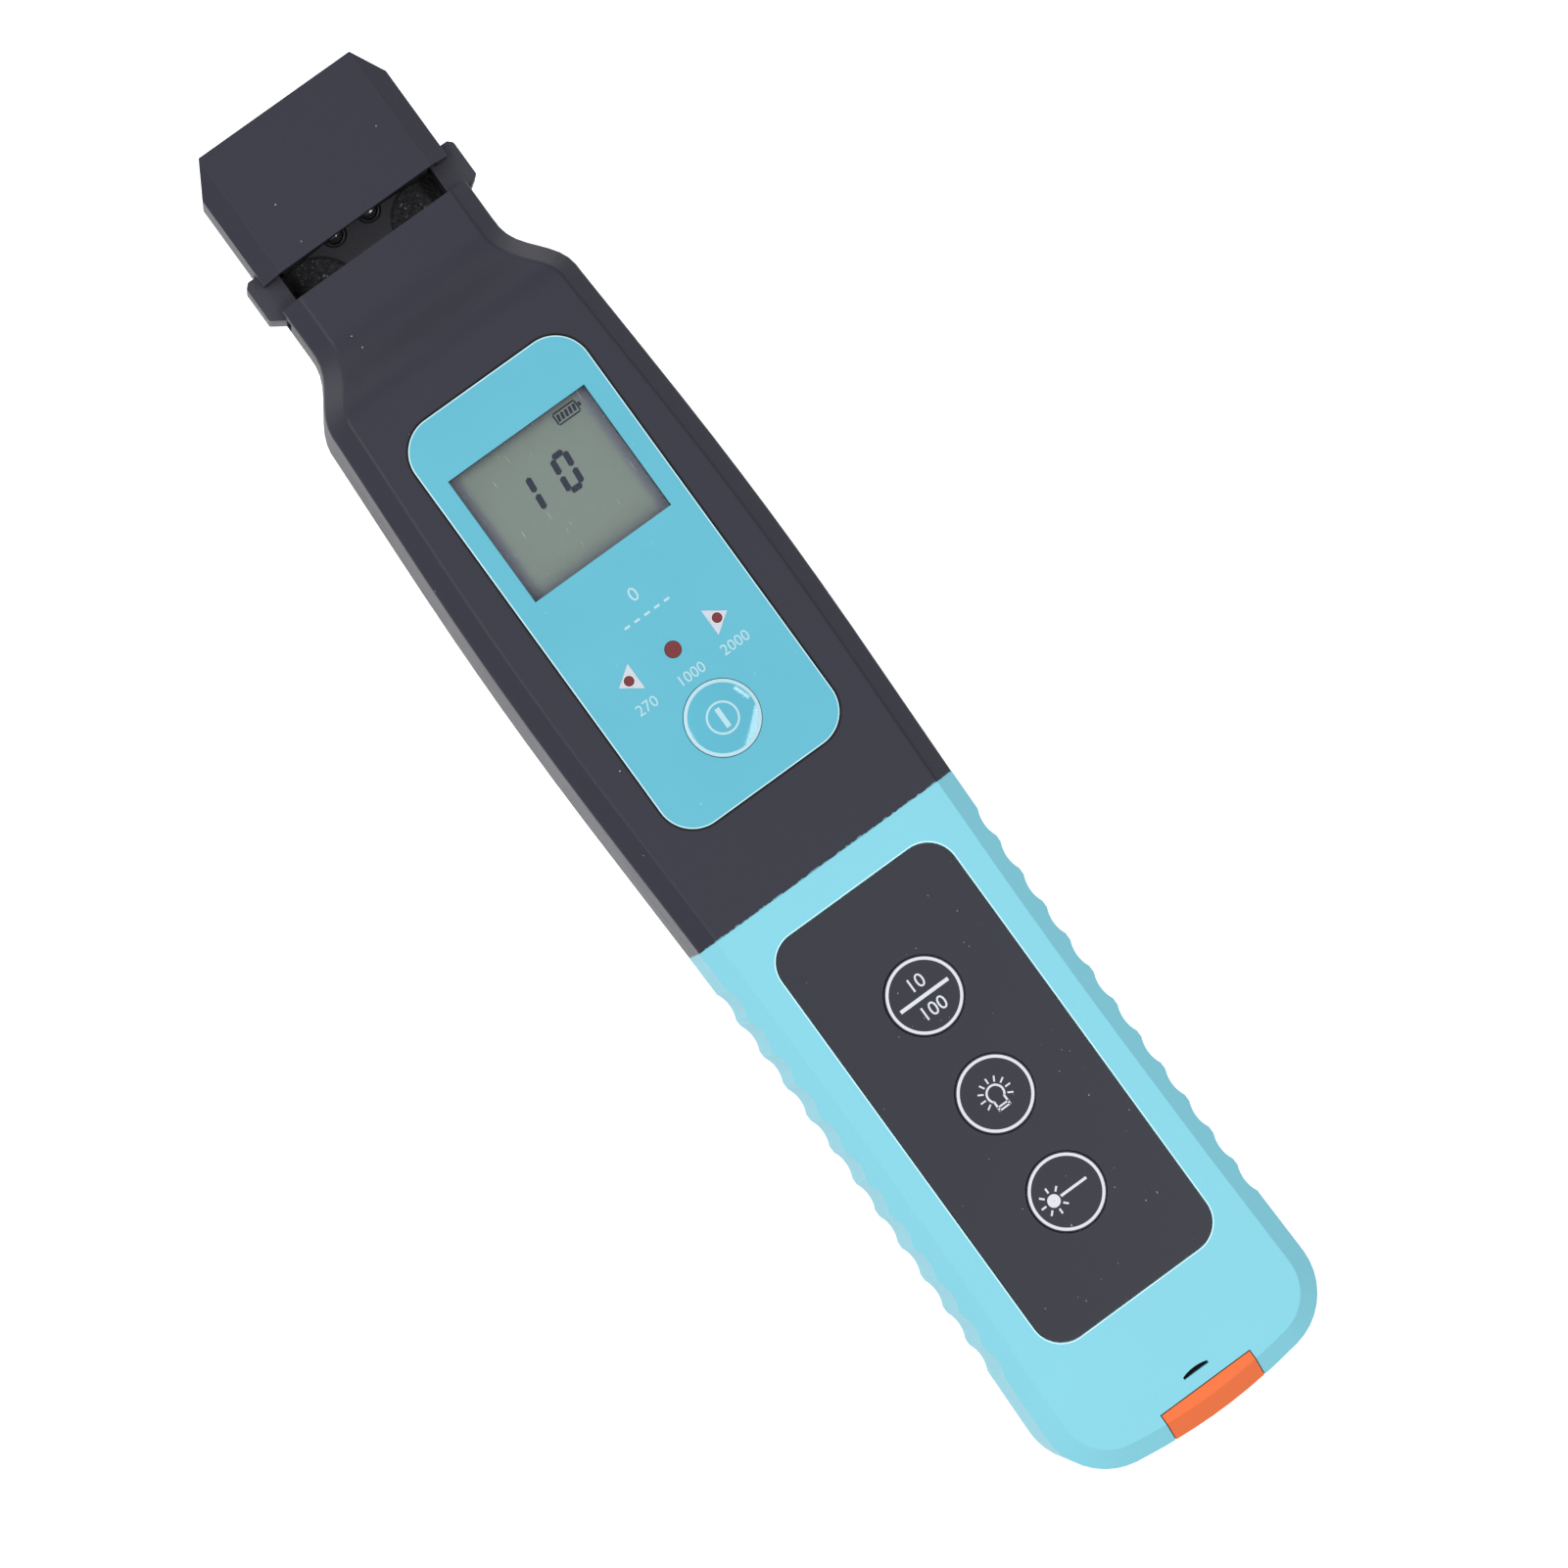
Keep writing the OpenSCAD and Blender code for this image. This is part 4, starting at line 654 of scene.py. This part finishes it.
def finish_mesh(bm, name, body, material, replaces=None):
    """Turns a bmesh in metres into a piece that rides on a body."""
    mesh = bpy.data.meshes.new(name)
    bm.to_mesh(mesh)
    bm.free()
    mesh.shade_smooth()
    mesh.set_sharp_from_angle(angle=SMOOTH_UNDER)
    mesh.materials.append(material)
    piece = bpy.data.objects.new(name, mesh)
    scene.collection.objects.link(piece)
    weighted = piece.modifiers.new("flat faces stay flat", "WEIGHTED_NORMAL")
    weighted.keep_sharp = True
    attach(piece, body)
    if replaces:
        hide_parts(replaces)
    return piece


def cad_copy(node):
    """A copy of a CAD node's mesh, with its loose triangles joined."""
    bm = bmesh.new()
    bm.from_mesh(nodes[node].data)
    bmesh.ops.remove_doubles(bm, verts=bm.verts, dist=WELD)
    return bm


print("smooth under", round(math.degrees(SMOOTH_UNDER)), "degrees")

# %% [markdown]
# A moulded edge is never sharp. In a copy of each visible CAD mesh the flat faces are joined, and then two
# sets of edges are rounded: the long shallow ones, where bevels and ribs meet, get a wide radius, and the
# square ones at seams and openings a very small one that catches a line of light. The flat back keeps its
# plain edges, because the screws' recesses come so close to its outline that a rounding would cut them.

# %% Rounded copies of the moulded pieces
SHALLOW = (math.radians(16), math.radians(66))
FLAT_WITHIN = math.radians(0.2)
WIDE, NARROW, SMALL = 0.35 * MM, 0.1 * MM, 0.15 * MM
WIDE_SEGMENTS, NARROW_SEGMENTS = 3, 2
BACK_Z = 1 * MM


def edges_between(bm, low, high, above):
    return [e for e in bm.edges if len(e.link_faces) == 2 and e.is_convex
            and low < e.calc_face_angle(0) < high and min(v.co.z for v in e.verts) > above]


def rounded(node, wide, narrow, above=-math.inf):
    """Rounds the edges that lie higher than a given height."""
    bm = cad_copy(node)
    bmesh.ops.dissolve_limit(bm, angle_limit=FLAT_WITHIN, verts=bm.verts, edges=bm.edges)
    if wide:
        bmesh.ops.bevel(bm, geom=edges_between(bm, *SHALLOW, above), offset=wide, segments=WIDE_SEGMENTS,
                        profile=0.5, affect="EDGES", material=-1, clamp_overlap=True)
    bmesh.ops.bevel(bm, geom=edges_between(bm, SHALLOW[1], math.pi, above), offset=narrow,
                    segments=NARROW_SEGMENTS, profile=0.5, affect="EDGES", material=-1, clamp_overlap=True)
    print(node, len(bm.faces), "faces")
    finish_mesh(bm, node + "_skin", body_of(nodes[node])[0], FINISH[node], node)


for node in ("front_shell", "front_grip", "head_cap", "port_cover"):
    rounded(node, WIDE, NARROW)
for node in ("rear_shell", "rear_grip"):
    rounded(node, WIDE, NARROW, above=BACK_Z)
for node in ("battery_door", "trigger", "fibre_guide"):
    rounded(node, SMALL, SMALL)
for node in ("upper_overlay", "lower_overlay"):
    rounded(node, 0, NARROW)

# %% [markdown]
# Everything printed on the front is a very thin raised shape, as ink is. A bar is a flattened cube, a ring
# or an arc is a small square spun round a centre, and a number is a text that is made a mesh.

# %% Print tools
INK = 0.03 * MM
INK_WELD = 0.0001 * MM


def bar(bm, x, y, z, width, length, turn=0):
    """A flat bar whose length lies along Y before it is turned."""
    made = bmesh.ops.create_cube(bm, size=1)["verts"]
    bmesh.ops.scale(bm, vec=(width, length, INK), verts=made)
    bmesh.ops.rotate(bm, matrix=Matrix.Rotation(turn, 3, "Z"), verts=made)
    bmesh.ops.translate(bm, vec=(x, y, z + INK / 2), verts=made)


def ray(bm, x, y, z, angle, reach, width, length):
    """A bar that points away from a centre."""
    bar(bm, x + reach * math.cos(angle), y + reach * math.sin(angle), z, width, length,
        turn=angle - math.pi / 2)


def ring(bm, x, y, height, outer, width, start=0, sweep=math.tau, steps=96):
    """A ring or an arc; height gives the surface at a distance from the centre."""
    inner = outer - width
    corners = [(outer, height(outer)), (inner, height(inner)), (inner, height(inner) + INK),
               (outer, height(outer) + INK)]
    turn = Matrix.Rotation(start, 3, "Z")
    verts = [bm.verts.new(Vector((x, y, 0)) + turn @ Vector((r, 0, z))) for r, z in corners]
    edges = [bm.edges.new((verts[i], verts[(i + 1) % len(verts)])) for i in range(len(verts))]
    full = sweep == math.tau
    bmesh.ops.spin(bm, geom=verts + edges, cent=(x, y, 0), axis=(0, 0, 1), angle=sweep, steps=steps,
                   use_merge=full)
    if not full:
        bmesh.ops.holes_fill(bm, edges=[e for e in bm.edges if e.is_boundary], sides=4)


def raised(bm):
    """Gives flat faces the thickness of ink."""
    top = bmesh.ops.extrude_face_region(bm, geom=bm.faces[:])["geom"]
    bmesh.ops.translate(bm, vec=(0, 0, INK), verts=[v for v in top if isinstance(v, bmesh.types.BMVert)])


def digits(text, size, x, y, z):
    """Plain numbers as a bmesh, centred on a point."""
    curve = bpy.data.curves.new("digits", "FONT")
    curve.body, curve.size, curve.extrude = text, size, INK / 2
    curve.align_x, curve.align_y = "CENTER", "CENTER"
    curve.resolution_u = 3
    maker = bpy.data.objects.new("digits", curve)
    scene.collection.objects.link(maker)
    mesh = bpy.data.meshes.new_from_object(maker.evaluated_get(bpy.context.evaluated_depsgraph_get()))
    bpy.data.objects.remove(maker)
    mesh.transform(Matrix.Translation((x, y, z + INK / 2)))
    bm = bmesh.new()
    bm.from_mesh(mesh)
    bpy.data.meshes.remove(mesh)
    return bm


def merge(bm, other):
    """Adds another bmesh and frees it."""
    mesh = bpy.data.meshes.new("merged")
    other.to_mesh(mesh)
    other.free()
    bm.from_mesh(mesh)
    bpy.data.meshes.remove(mesh)


def printed(bm, name, body, material):
    bmesh.ops.remove_doubles(bm, verts=bm.verts, dist=INK_WELD)
    bmesh.ops.recalc_face_normals(bm, faces=bm.faces)
    finish_mesh(bm, name, body, material)


print("ink:", round(INK / MM, 3), "mm")

# %% [markdown]
# The three lower keys each carry a white ring. The first has a bar with a plain number above and below it.

# %% Units key
RING_R, RING_W = 5.45 * MM, 0.43 * MM
KEY_BAR_W, KEY_BAR_H = 8.2 * MM, 0.55 * MM
KEY_DIGIT_H = 2.9 * MM
TEN_UP, HUNDRED_DOWN = 2.05 * MM, 2.25 * MM


def middle(node):
    """The middle of a node's top."""
    low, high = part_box(node)
    return (low.x + high.x) / 2, (low.y + high.y) / 2, high.z


def flat(z):
    return lambda r: z


def key_ring(node):
    x, y, z = middle(node)
    bm = bmesh.new()
    ring(bm, x, y, flat(z), RING_R, RING_W)
    return bm, x, y, z


bm, x, y, z = key_ring("units_key")
bar(bm, x, y, z, KEY_BAR_W, KEY_BAR_H)
merge(bm, digits("10", KEY_DIGIT_H, x, y + TEN_UP, z))
merge(bm, digits("100", KEY_DIGIT_H, x, y - HUNDRED_DOWN, z))
printed(bm, "units_key_print", "units_button", key_white)
print("units key at y", round(y / MM, 2), "mm")

# %% [markdown]
# The second key has a small lamp: an arc that is open at its neck, two short lines down from it, a cap of
# two strokes, and rays round its upper part.

# %% Light key
LINE = 0.3 * MM
BULB_R, NECK = 1.4 * MM, math.radians(46)
NECK_X, NECK_DOWN, NECK_L = 0.86 * MM, 1.6 * MM, 1.6 * MM
CAP_DOWN, CAP_PITCH, CAP_W, CAP_LINE = 1.8 * MM, 0.5 * MM, 1.9 * MM, 0.26 * MM
RAY_REACH, RAY_W, RAY_L = 2.1 * MM, 0.24 * MM, 0.85 * MM
RAYS_IN_HALF_TURN = 6

bm, x, y, z = key_ring("light_key")
ring(bm, x, y, flat(z), BULB_R, LINE, start=-math.pi / 2 + NECK, sweep=math.tau - 2 * NECK, steps=48)
for side in (-1, 1):
    bar(bm, x + side * NECK_X, y - NECK_DOWN, z, LINE, NECK_L)
for step in range(2):
    bar(bm, x, y - (CAP_DOWN + CAP_PITCH * step), z, CAP_W, CAP_LINE)
for k in range(-1, RAYS_IN_HALF_TURN + 2):
    ray(bm, x, y, z, math.pi * k / RAYS_IN_HALF_TURN, RAY_REACH, RAY_W, RAY_L)
printed(bm, "light_key_print", "light_button", key_white)
print("light key at y", round(y / MM, 2), "mm")

# %% [markdown]
# The third key stands for the laser: a dot with sparks round it, and a beam in place of one of them.

# %% Laser key
DOT_LEFT, DOT_R, DOT_RING_W = 2.2 * MM, 0.95 * MM, 0.9 * MM
BEAM_RIGHT, BEAM_L, BEAM_W = 1.2 * MM, 4.4 * MM, 0.4 * MM
SPARK_REACH, SPARK_W, SPARK_L = 1.72 * MM, 0.28 * MM, 0.8 * MM
SPARKS = 8

bm, x, y, z = key_ring("laser_key")
ring(bm, x - DOT_LEFT, y, flat(z), DOT_R, DOT_RING_W, steps=40)
bar(bm, x + BEAM_RIGHT, y, z, BEAM_L, BEAM_W)
for k in range(1, SPARKS):
    ray(bm, x - DOT_LEFT, y, z, math.tau * k / SPARKS, SPARK_REACH, SPARK_W, SPARK_L)
printed(bm, "laser_key_print", "laser_button", key_white)
print("laser key at y", round(y / MM, 2), "mm")

# %% [markdown]
# The power key is a shallow dome of clear resin. A spun skin a hair above the CAD dome gives it a smooth
# gloss. Its height comes from the ball that the dome is cut from.

# %% Power key's dome
POWER_R, POWER_DOME = 5.45 * MM, 0.5 * MM
BALL_R = (POWER_R ** 2 + POWER_DOME ** 2) / (2 * POWER_DOME)
SKIN_LIFT, SKIN_OUT, SKIN_DEPTH = 0.015 * MM, 0.05 * MM, 0.9 * MM
EDGE_DROP, EDGE_INSET = 0.05 * MM, 0.04 * MM
DOME_STEPS, DOME_TURNS = 14, 128
SKIN_WELD = 0.001 * MM
x, y, z = middle("power_key")


def dome(r):
    return z - BALL_R + math.sqrt(BALL_R ** 2 - r ** 2)


bm = bmesh.new()
edge_r = POWER_R + SKIN_OUT
foot = z - SKIN_DEPTH
radii = [edge_r * (1 - k / DOME_STEPS) for k in range(DOME_STEPS + 1)]
radii[0] -= EDGE_INSET
points = [(0, foot), (edge_r, foot), (edge_r, dome(edge_r) + SKIN_LIFT - EDGE_DROP)]
points += [(r, dome(r) + SKIN_LIFT) for r in radii]
profile = [bm.verts.new((x + r, y, h)) for r, h in points]
lines = [bm.edges.new(pair) for pair in zip(profile, profile[1:])]
bmesh.ops.spin(bm, geom=profile + lines, cent=(x, y, 0), axis=(0, 0, 1), angle=math.tau, steps=DOME_TURNS,
               use_merge=True)
bmesh.ops.remove_doubles(bm, verts=bm.verts, dist=SKIN_WELD)
bmesh.ops.recalc_face_normals(bm, faces=bm.faces)
finish_mesh(bm, "power_dome", "power_button", dome_resin)
print("ball radius:", round(BALL_R / MM, 2), "mm")

# %% [markdown]
# Two rings and a stroke are printed on the dome and follow it. The stroke is a bar that is cut across a few
# times, so that its points can be lifted onto the ball.

# %% Power key's print
RIM_OUT, RIM_LINE = 0.02 * MM, 0.5 * MM
SYMBOL_R = 2.4 * MM
STROKE_W, STROKE_L, STROKE_CUTS = 0.75 * MM, 3.1 * MM, 7
STROKE_SINK = 0.01 * MM

bm = bmesh.new()
ring(bm, x, y, dome, POWER_R + RIM_OUT, RIM_LINE)
ring(bm, x, y, dome, SYMBOL_R, LINE, steps=64)
stroke = bmesh.new()
bar(stroke, x, y, 0, STROKE_W, STROKE_L)
long_edges = [e for e in stroke.edges if e.calc_length() > STROKE_L / 2]
bmesh.ops.subdivide_edges(stroke, edges=long_edges, cuts=STROKE_CUTS)
for v in stroke.verts:
    v.co.z += dome(v.co.y - y) + SKIN_LIFT - STROKE_SINK
merge(bm, stroke)
printed(bm, "power_key_print", "power_button", panel_white)
print("power key at y", round(y / MM, 2), "mm")

# %% [markdown]
# Beside the middle light, each outer one sits in a white triangle that points outwards. A triangle and a
# round hole are two loops, so a bridge between them makes the face. Three points on a circle of radius 1
# span 1.5 by the root of 3, which gives the scale. A brighter ring lies in the hole, round the light.

# %% Triangles round the lights
LED_X = 7.6 * MM
ARROW_L, ARROW_W, ARROW_BACK = 3.0 * MM, 4.2 * MM, 0.25 * MM
HOLE_R, HOLE_SIDES = 0.98 * MM, 24
LIGHT_RING_R, LIGHT_RING_W = 1.0 * MM, 0.24 * MM
panel_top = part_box("upper_overlay")[1].z
lights_y = sum(c.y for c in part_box("light_pipes")) / 2

bm = bmesh.new()
for side in (-1, 1):
    outer = bmesh.ops.create_circle(bm, segments=3, radius=1)["verts"]
    bmesh.ops.rotate(bm, matrix=Matrix.Rotation(-side * math.pi / 2, 3, "Z"), verts=outer)
    bmesh.ops.scale(bm, vec=(ARROW_L / 1.5, ARROW_W / math.sqrt(3), 1), verts=outer)
    bmesh.ops.translate(bm, vec=(side * (LED_X - ARROW_BACK), lights_y, panel_top), verts=outer)
    loop = [e for e in bm.edges if e.verts[0] in outer and e.verts[1] in outer]
    cut = bmesh.ops.subdivide_edges(bm, edges=loop, cuts=HOLE_SIDES // 3 - 1)
    rim = [e for e in cut["geom_split"] if isinstance(e, bmesh.types.BMEdge)]
    hole = bmesh.ops.create_circle(bm, segments=HOLE_SIDES, radius=HOLE_R)["verts"]
    bmesh.ops.translate(bm, vec=(side * LED_X, lights_y, panel_top), verts=hole)
    hole_edges = list({e for v in hole for e in v.link_edges})
    bmesh.ops.bridge_loops(bm, edges=rim + hole_edges)
raised(bm)
printed(bm, "light_arrows", "housing", arrow_white)

bm = bmesh.new()
for side in (-1, 1):
    ring(bm, side * LED_X, lights_y, flat(panel_top), LIGHT_RING_R, LIGHT_RING_W, steps=32)
printed(bm, "light_rings", "housing", key_white)
print("lights at y", round(lights_y / MM, 2), "mm")

# %% [markdown]
# The tones that such a tool tells apart stand under the lights in hertz, as plain numbers, and an empty
# scale with a nought lies above them.

# %% Marks on the upper panel
TONES = {-1: "270", 0: "1000", 1: "2000"}
TONE_H, TONE_DOWN = 2.3 * MM, 4.35 * MM
NOUGHT_H, NOUGHT_UP = 2.9 * MM, 9.4 * MM
SCALE_UP, SCALE_PITCH, DASH_W, DASH_H = 6.2 * MM, 1.7 * MM, 0.9 * MM, 0.35 * MM

bm = bmesh.new()
for k, hertz in TONES.items():
    merge(bm, digits(hertz, TONE_H, k * LED_X, lights_y - TONE_DOWN, panel_top))
merge(bm, digits("0", NOUGHT_H, 0, lights_y + NOUGHT_UP, panel_top))
for k in range(-2, 3):
    bar(bm, k * SCALE_PITCH, lights_y + SCALE_UP, panel_top, DASH_W, DASH_H)
printed(bm, "panel_marks", "housing", panel_white)
print("marks:", list(TONES.values()))

# %% [markdown]
# A display of this kind draws its figures from bars with pointed ends. A circle of six points, pulled
# apart along its length, is exactly that. The figures lean a little, as on the real glass.

# %% Display figures
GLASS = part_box("lcd_panel")[1].z
SEGMENTS = {"0": "abcdef", "1": "bc"}
LEAN = 0.09
FIGURE_W, FIGURE_H = 2.15 * MM, 5.3 * MM
SEGMENT_W, SEGMENT_GAP = 1.05 * MM, 0.3 * MM
ONE_X, NOUGHT_X, FIGURES_Y = -3.55 * MM, 2.85 * MM, 47.05 * MM


def segment(bm, x, y, upright, length):
    made = bmesh.ops.create_circle(bm, segments=6, radius=SEGMENT_W / 2, cap_ends=True)["verts"]
    for v in made:
        v.co.y += math.copysign((length - SEGMENT_W) / 2, v.co.y)
    if not upright:
        bmesh.ops.rotate(bm, matrix=Matrix.Rotation(math.pi / 2, 3, "Z"), verts=made)
    bmesh.ops.translate(bm, vec=(x, y, 0), verts=made)


def figure(bm, text, x, y):
    half_w, half_h = FIGURE_W / 2, FIGURE_H / 2
    places = {
        "a": (0, half_h, False), "d": (0, -half_h, False),
        "b": (half_w, half_h / 2, True), "c": (half_w, -half_h / 2, True),
        "f": (-half_w, half_h / 2, True), "e": (-half_w, -half_h / 2, True),
    }
    for name in SEGMENTS[text]:
        dx, dy, upright = places[name]
        length = (half_h if upright else FIGURE_W) - SEGMENT_GAP
        segment(bm, x + dx, y + dy, upright, length)


figures = bmesh.new()
figure(figures, "1", ONE_X, FIGURES_Y)
figure(figures, "0", NOUGHT_X, FIGURES_Y)
for v in figures.verts:
    v.co.x += LEAN * (v.co.y - FIGURES_Y)
bmesh.ops.translate(figures, vec=(0, 0, GLASS), verts=figures.verts)
raised(figures)
print("figures on the glass at z", round(GLASS / MM, 2), "mm")

# %% [markdown]
# A small battery stands in the corner of the display: four lines for its case, a knob, and five slanted bars
# for its charge. It is one piece with the figures.

# %% Battery mark
BATTERY = Vector((7.6, 53.75)) * MM
CASE_HALF_W, CASE_HALF_H, CASE_LINE = 1.83 * MM, 0.88 * MM, 0.24 * MM
CASE_L, CASE_H = 3.5 * MM, 1.6 * MM
KNOB_RIGHT, KNOB_W, KNOB_H = 2.2 * MM, 0.42 * MM, 0.62 * MM
CHARGE_PITCH, CHARGE_W, CHARGE_H, CHARGE_SLANT = 0.66 * MM, 0.44 * MM, 1.05 * MM, -0.2

for side in (-1, 1):
    bar(figures, BATTERY.x, BATTERY.y + side * CASE_HALF_H, GLASS, CASE_L, CASE_LINE)
for side in (-1, 1):
    bar(figures, BATTERY.x + side * CASE_HALF_W, BATTERY.y, GLASS, CASE_LINE, CASE_H)
bar(figures, BATTERY.x + KNOB_RIGHT, BATTERY.y, GLASS, KNOB_W, KNOB_H)
for k in range(-2, 3):
    bar(figures, BATTERY.x + k * CHARGE_PITCH, BATTERY.y, GLASS, CHARGE_W, CHARGE_H, turn=CHARGE_SLANT)
printed(figures, "display_figures", "housing", ink)
print("battery mark at y", round(BATTERY.y / MM, 2), "mm")

# %% [markdown]
# The foam discs are soft and coarse. A grid cut to the disc and pushed down by a noise gives the crumbly
# surface that shows in the slot.

# %% Foam discs
FOAM_CUTS = 30
CRUMB_DEPTH, CRUMB_SIZE = 0.28 * MM, 0.55 * MM
TOP_WITHIN = 0.05 * MM


def cut_across(bm, place, normal):
    bmesh.ops.bisect_plane(bm, geom=bm.verts[:] + bm.edges[:] + bm.faces[:], plane_co=place, plane_no=normal)


def foam_disc(side):
    bm = cad_copy("foam_pads")
    bmesh.ops.delete(bm, geom=[v for v in bm.verts if v.co.x * side < 0], context="VERTS")
    inner = min(abs(v.co.x) for v in bm.verts)
    for cut in range(FOAM_CUTS):
        along = foam_low.y + (foam_high.y - foam_low.y) * (cut + 0.5) / FOAM_CUTS
        cut_across(bm, (0, along, 0), (0, 1, 0))
        out = side * (inner + (foam_high.x - inner) * (cut + 0.5) / FOAM_CUTS)
        cut_across(bm, (out, 0, 0), (1, 0, 0))
    for v in bm.verts:
        if v.co.z > foam_high.z - TOP_WITHIN:
            v.co.z -= CRUMB_DEPTH * (0.5 + 0.5 * noise.noise(v.co / CRUMB_SIZE))
    return bm


for side, name in ((-1, "left"), (1, "right")):
    finish_mesh(foam_disc(side), "foam_disc_" + name, "housing", foam)
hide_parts("foam_pads")
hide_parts("foam_pads")
print("foam discs made")

# %% [markdown]
# The return spring stands between the carriage and a rib of the front shell. The rib holds one end, and the
# carriage presses the other as the clamp closes. The coil is a welded copy of the CAD spring, and its length
# at rest and when closed is worked out from the clamp's travel.

# %% Return spring
clamp = next(j for j in frame["record"]["behaviour"]["joints"] if j["name"] == "clamp_slide")
travel = clamp["range_m"][1]
held_end = clamp["deforming_nodes"][0]["fixed_end_y_m"]
rest_length = held_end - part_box("return_spring")[0].y
spring = finish_mesh(cad_copy("return_spring"), "clamp_spring", "housing", steel,
                     "return_spring")
1 - travel / rest_length
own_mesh(spring)
print("spring:", round(rest_length / MM, 2), "mm at rest,",
      round((rest_length - travel) / MM, 2), "mm when closed")

# %% [markdown]
# Two detectors look up out of the slot's floor. Each is a small glossy dome in a black rim, so a half
# profile of each is spun round its own axis. The rim's black is deepened as painted shade in its recess.

# %% Detector eyes
low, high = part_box("detector_lenses")
RIM_R = (high.y - low.y) / 2
EYE_R, EYE_H = 1.05 * MM, 0.5 * MM
EYE_X, EYE_Y = high.x - RIM_R, (low.y + high.y) / 2
RIM_GAP, RIM_STEP = 0.1 * MM, 0.15 * MM
BOW_STEPS, EYE_TURNS = 10, 48


def spun(name, profile, material):
    """A pair of turned pieces, one over each detector, from radii and heights."""
    bm = bmesh.new()
    for side in (-1, 1):
        verts = [bm.verts.new((side * EYE_X + r, EYE_Y, h)) for r, h in profile]
        lines = [bm.edges.new(pair) for pair in zip(verts, verts[1:])]
        bmesh.ops.spin(bm, geom=verts + lines, cent=(side * EYE_X, EYE_Y, 0), axis=(0, 0, 1),
                       angle=math.tau, steps=EYE_TURNS, use_merge=True)
    bmesh.ops.remove_doubles(bm, verts=bm.verts, dist=SKIN_WELD)
    bmesh.ops.recalc_face_normals(bm, faces=bm.faces)
    finish_mesh(bm, name, "housing", material, "detector_lenses")


eye_base = high.z - EYE_H
angles = [k * math.pi / (2 * BOW_STEPS) for k in range(BOW_STEPS + 1)]
bow = [(EYE_R * math.cos(a), eye_base + EYE_H * math.sin(a)) for a in angles]
spun("detector_eyes", [(0, low.z), (EYE_R, low.z)] + bow, lens.material)
spun("detector_rims", [
    (0, low.z), (RIM_R, low.z), (RIM_R, eye_base + RIM_GAP), (RIM_R - RIM_STEP, eye_base + RIM_STEP),
    (EYE_R + RIM_GAP, eye_base - RIM_STEP), (0, eye_base - RIM_STEP)], black_rim_and_shade)
print("eye dome:", round(EYE_R / MM, 2), "by", round(EYE_H / MM, 2), "mm")

# %% Sizes and finish
low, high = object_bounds()
print("dressed box in mm:", [round(c / MM, 2) for c in (high - low)])
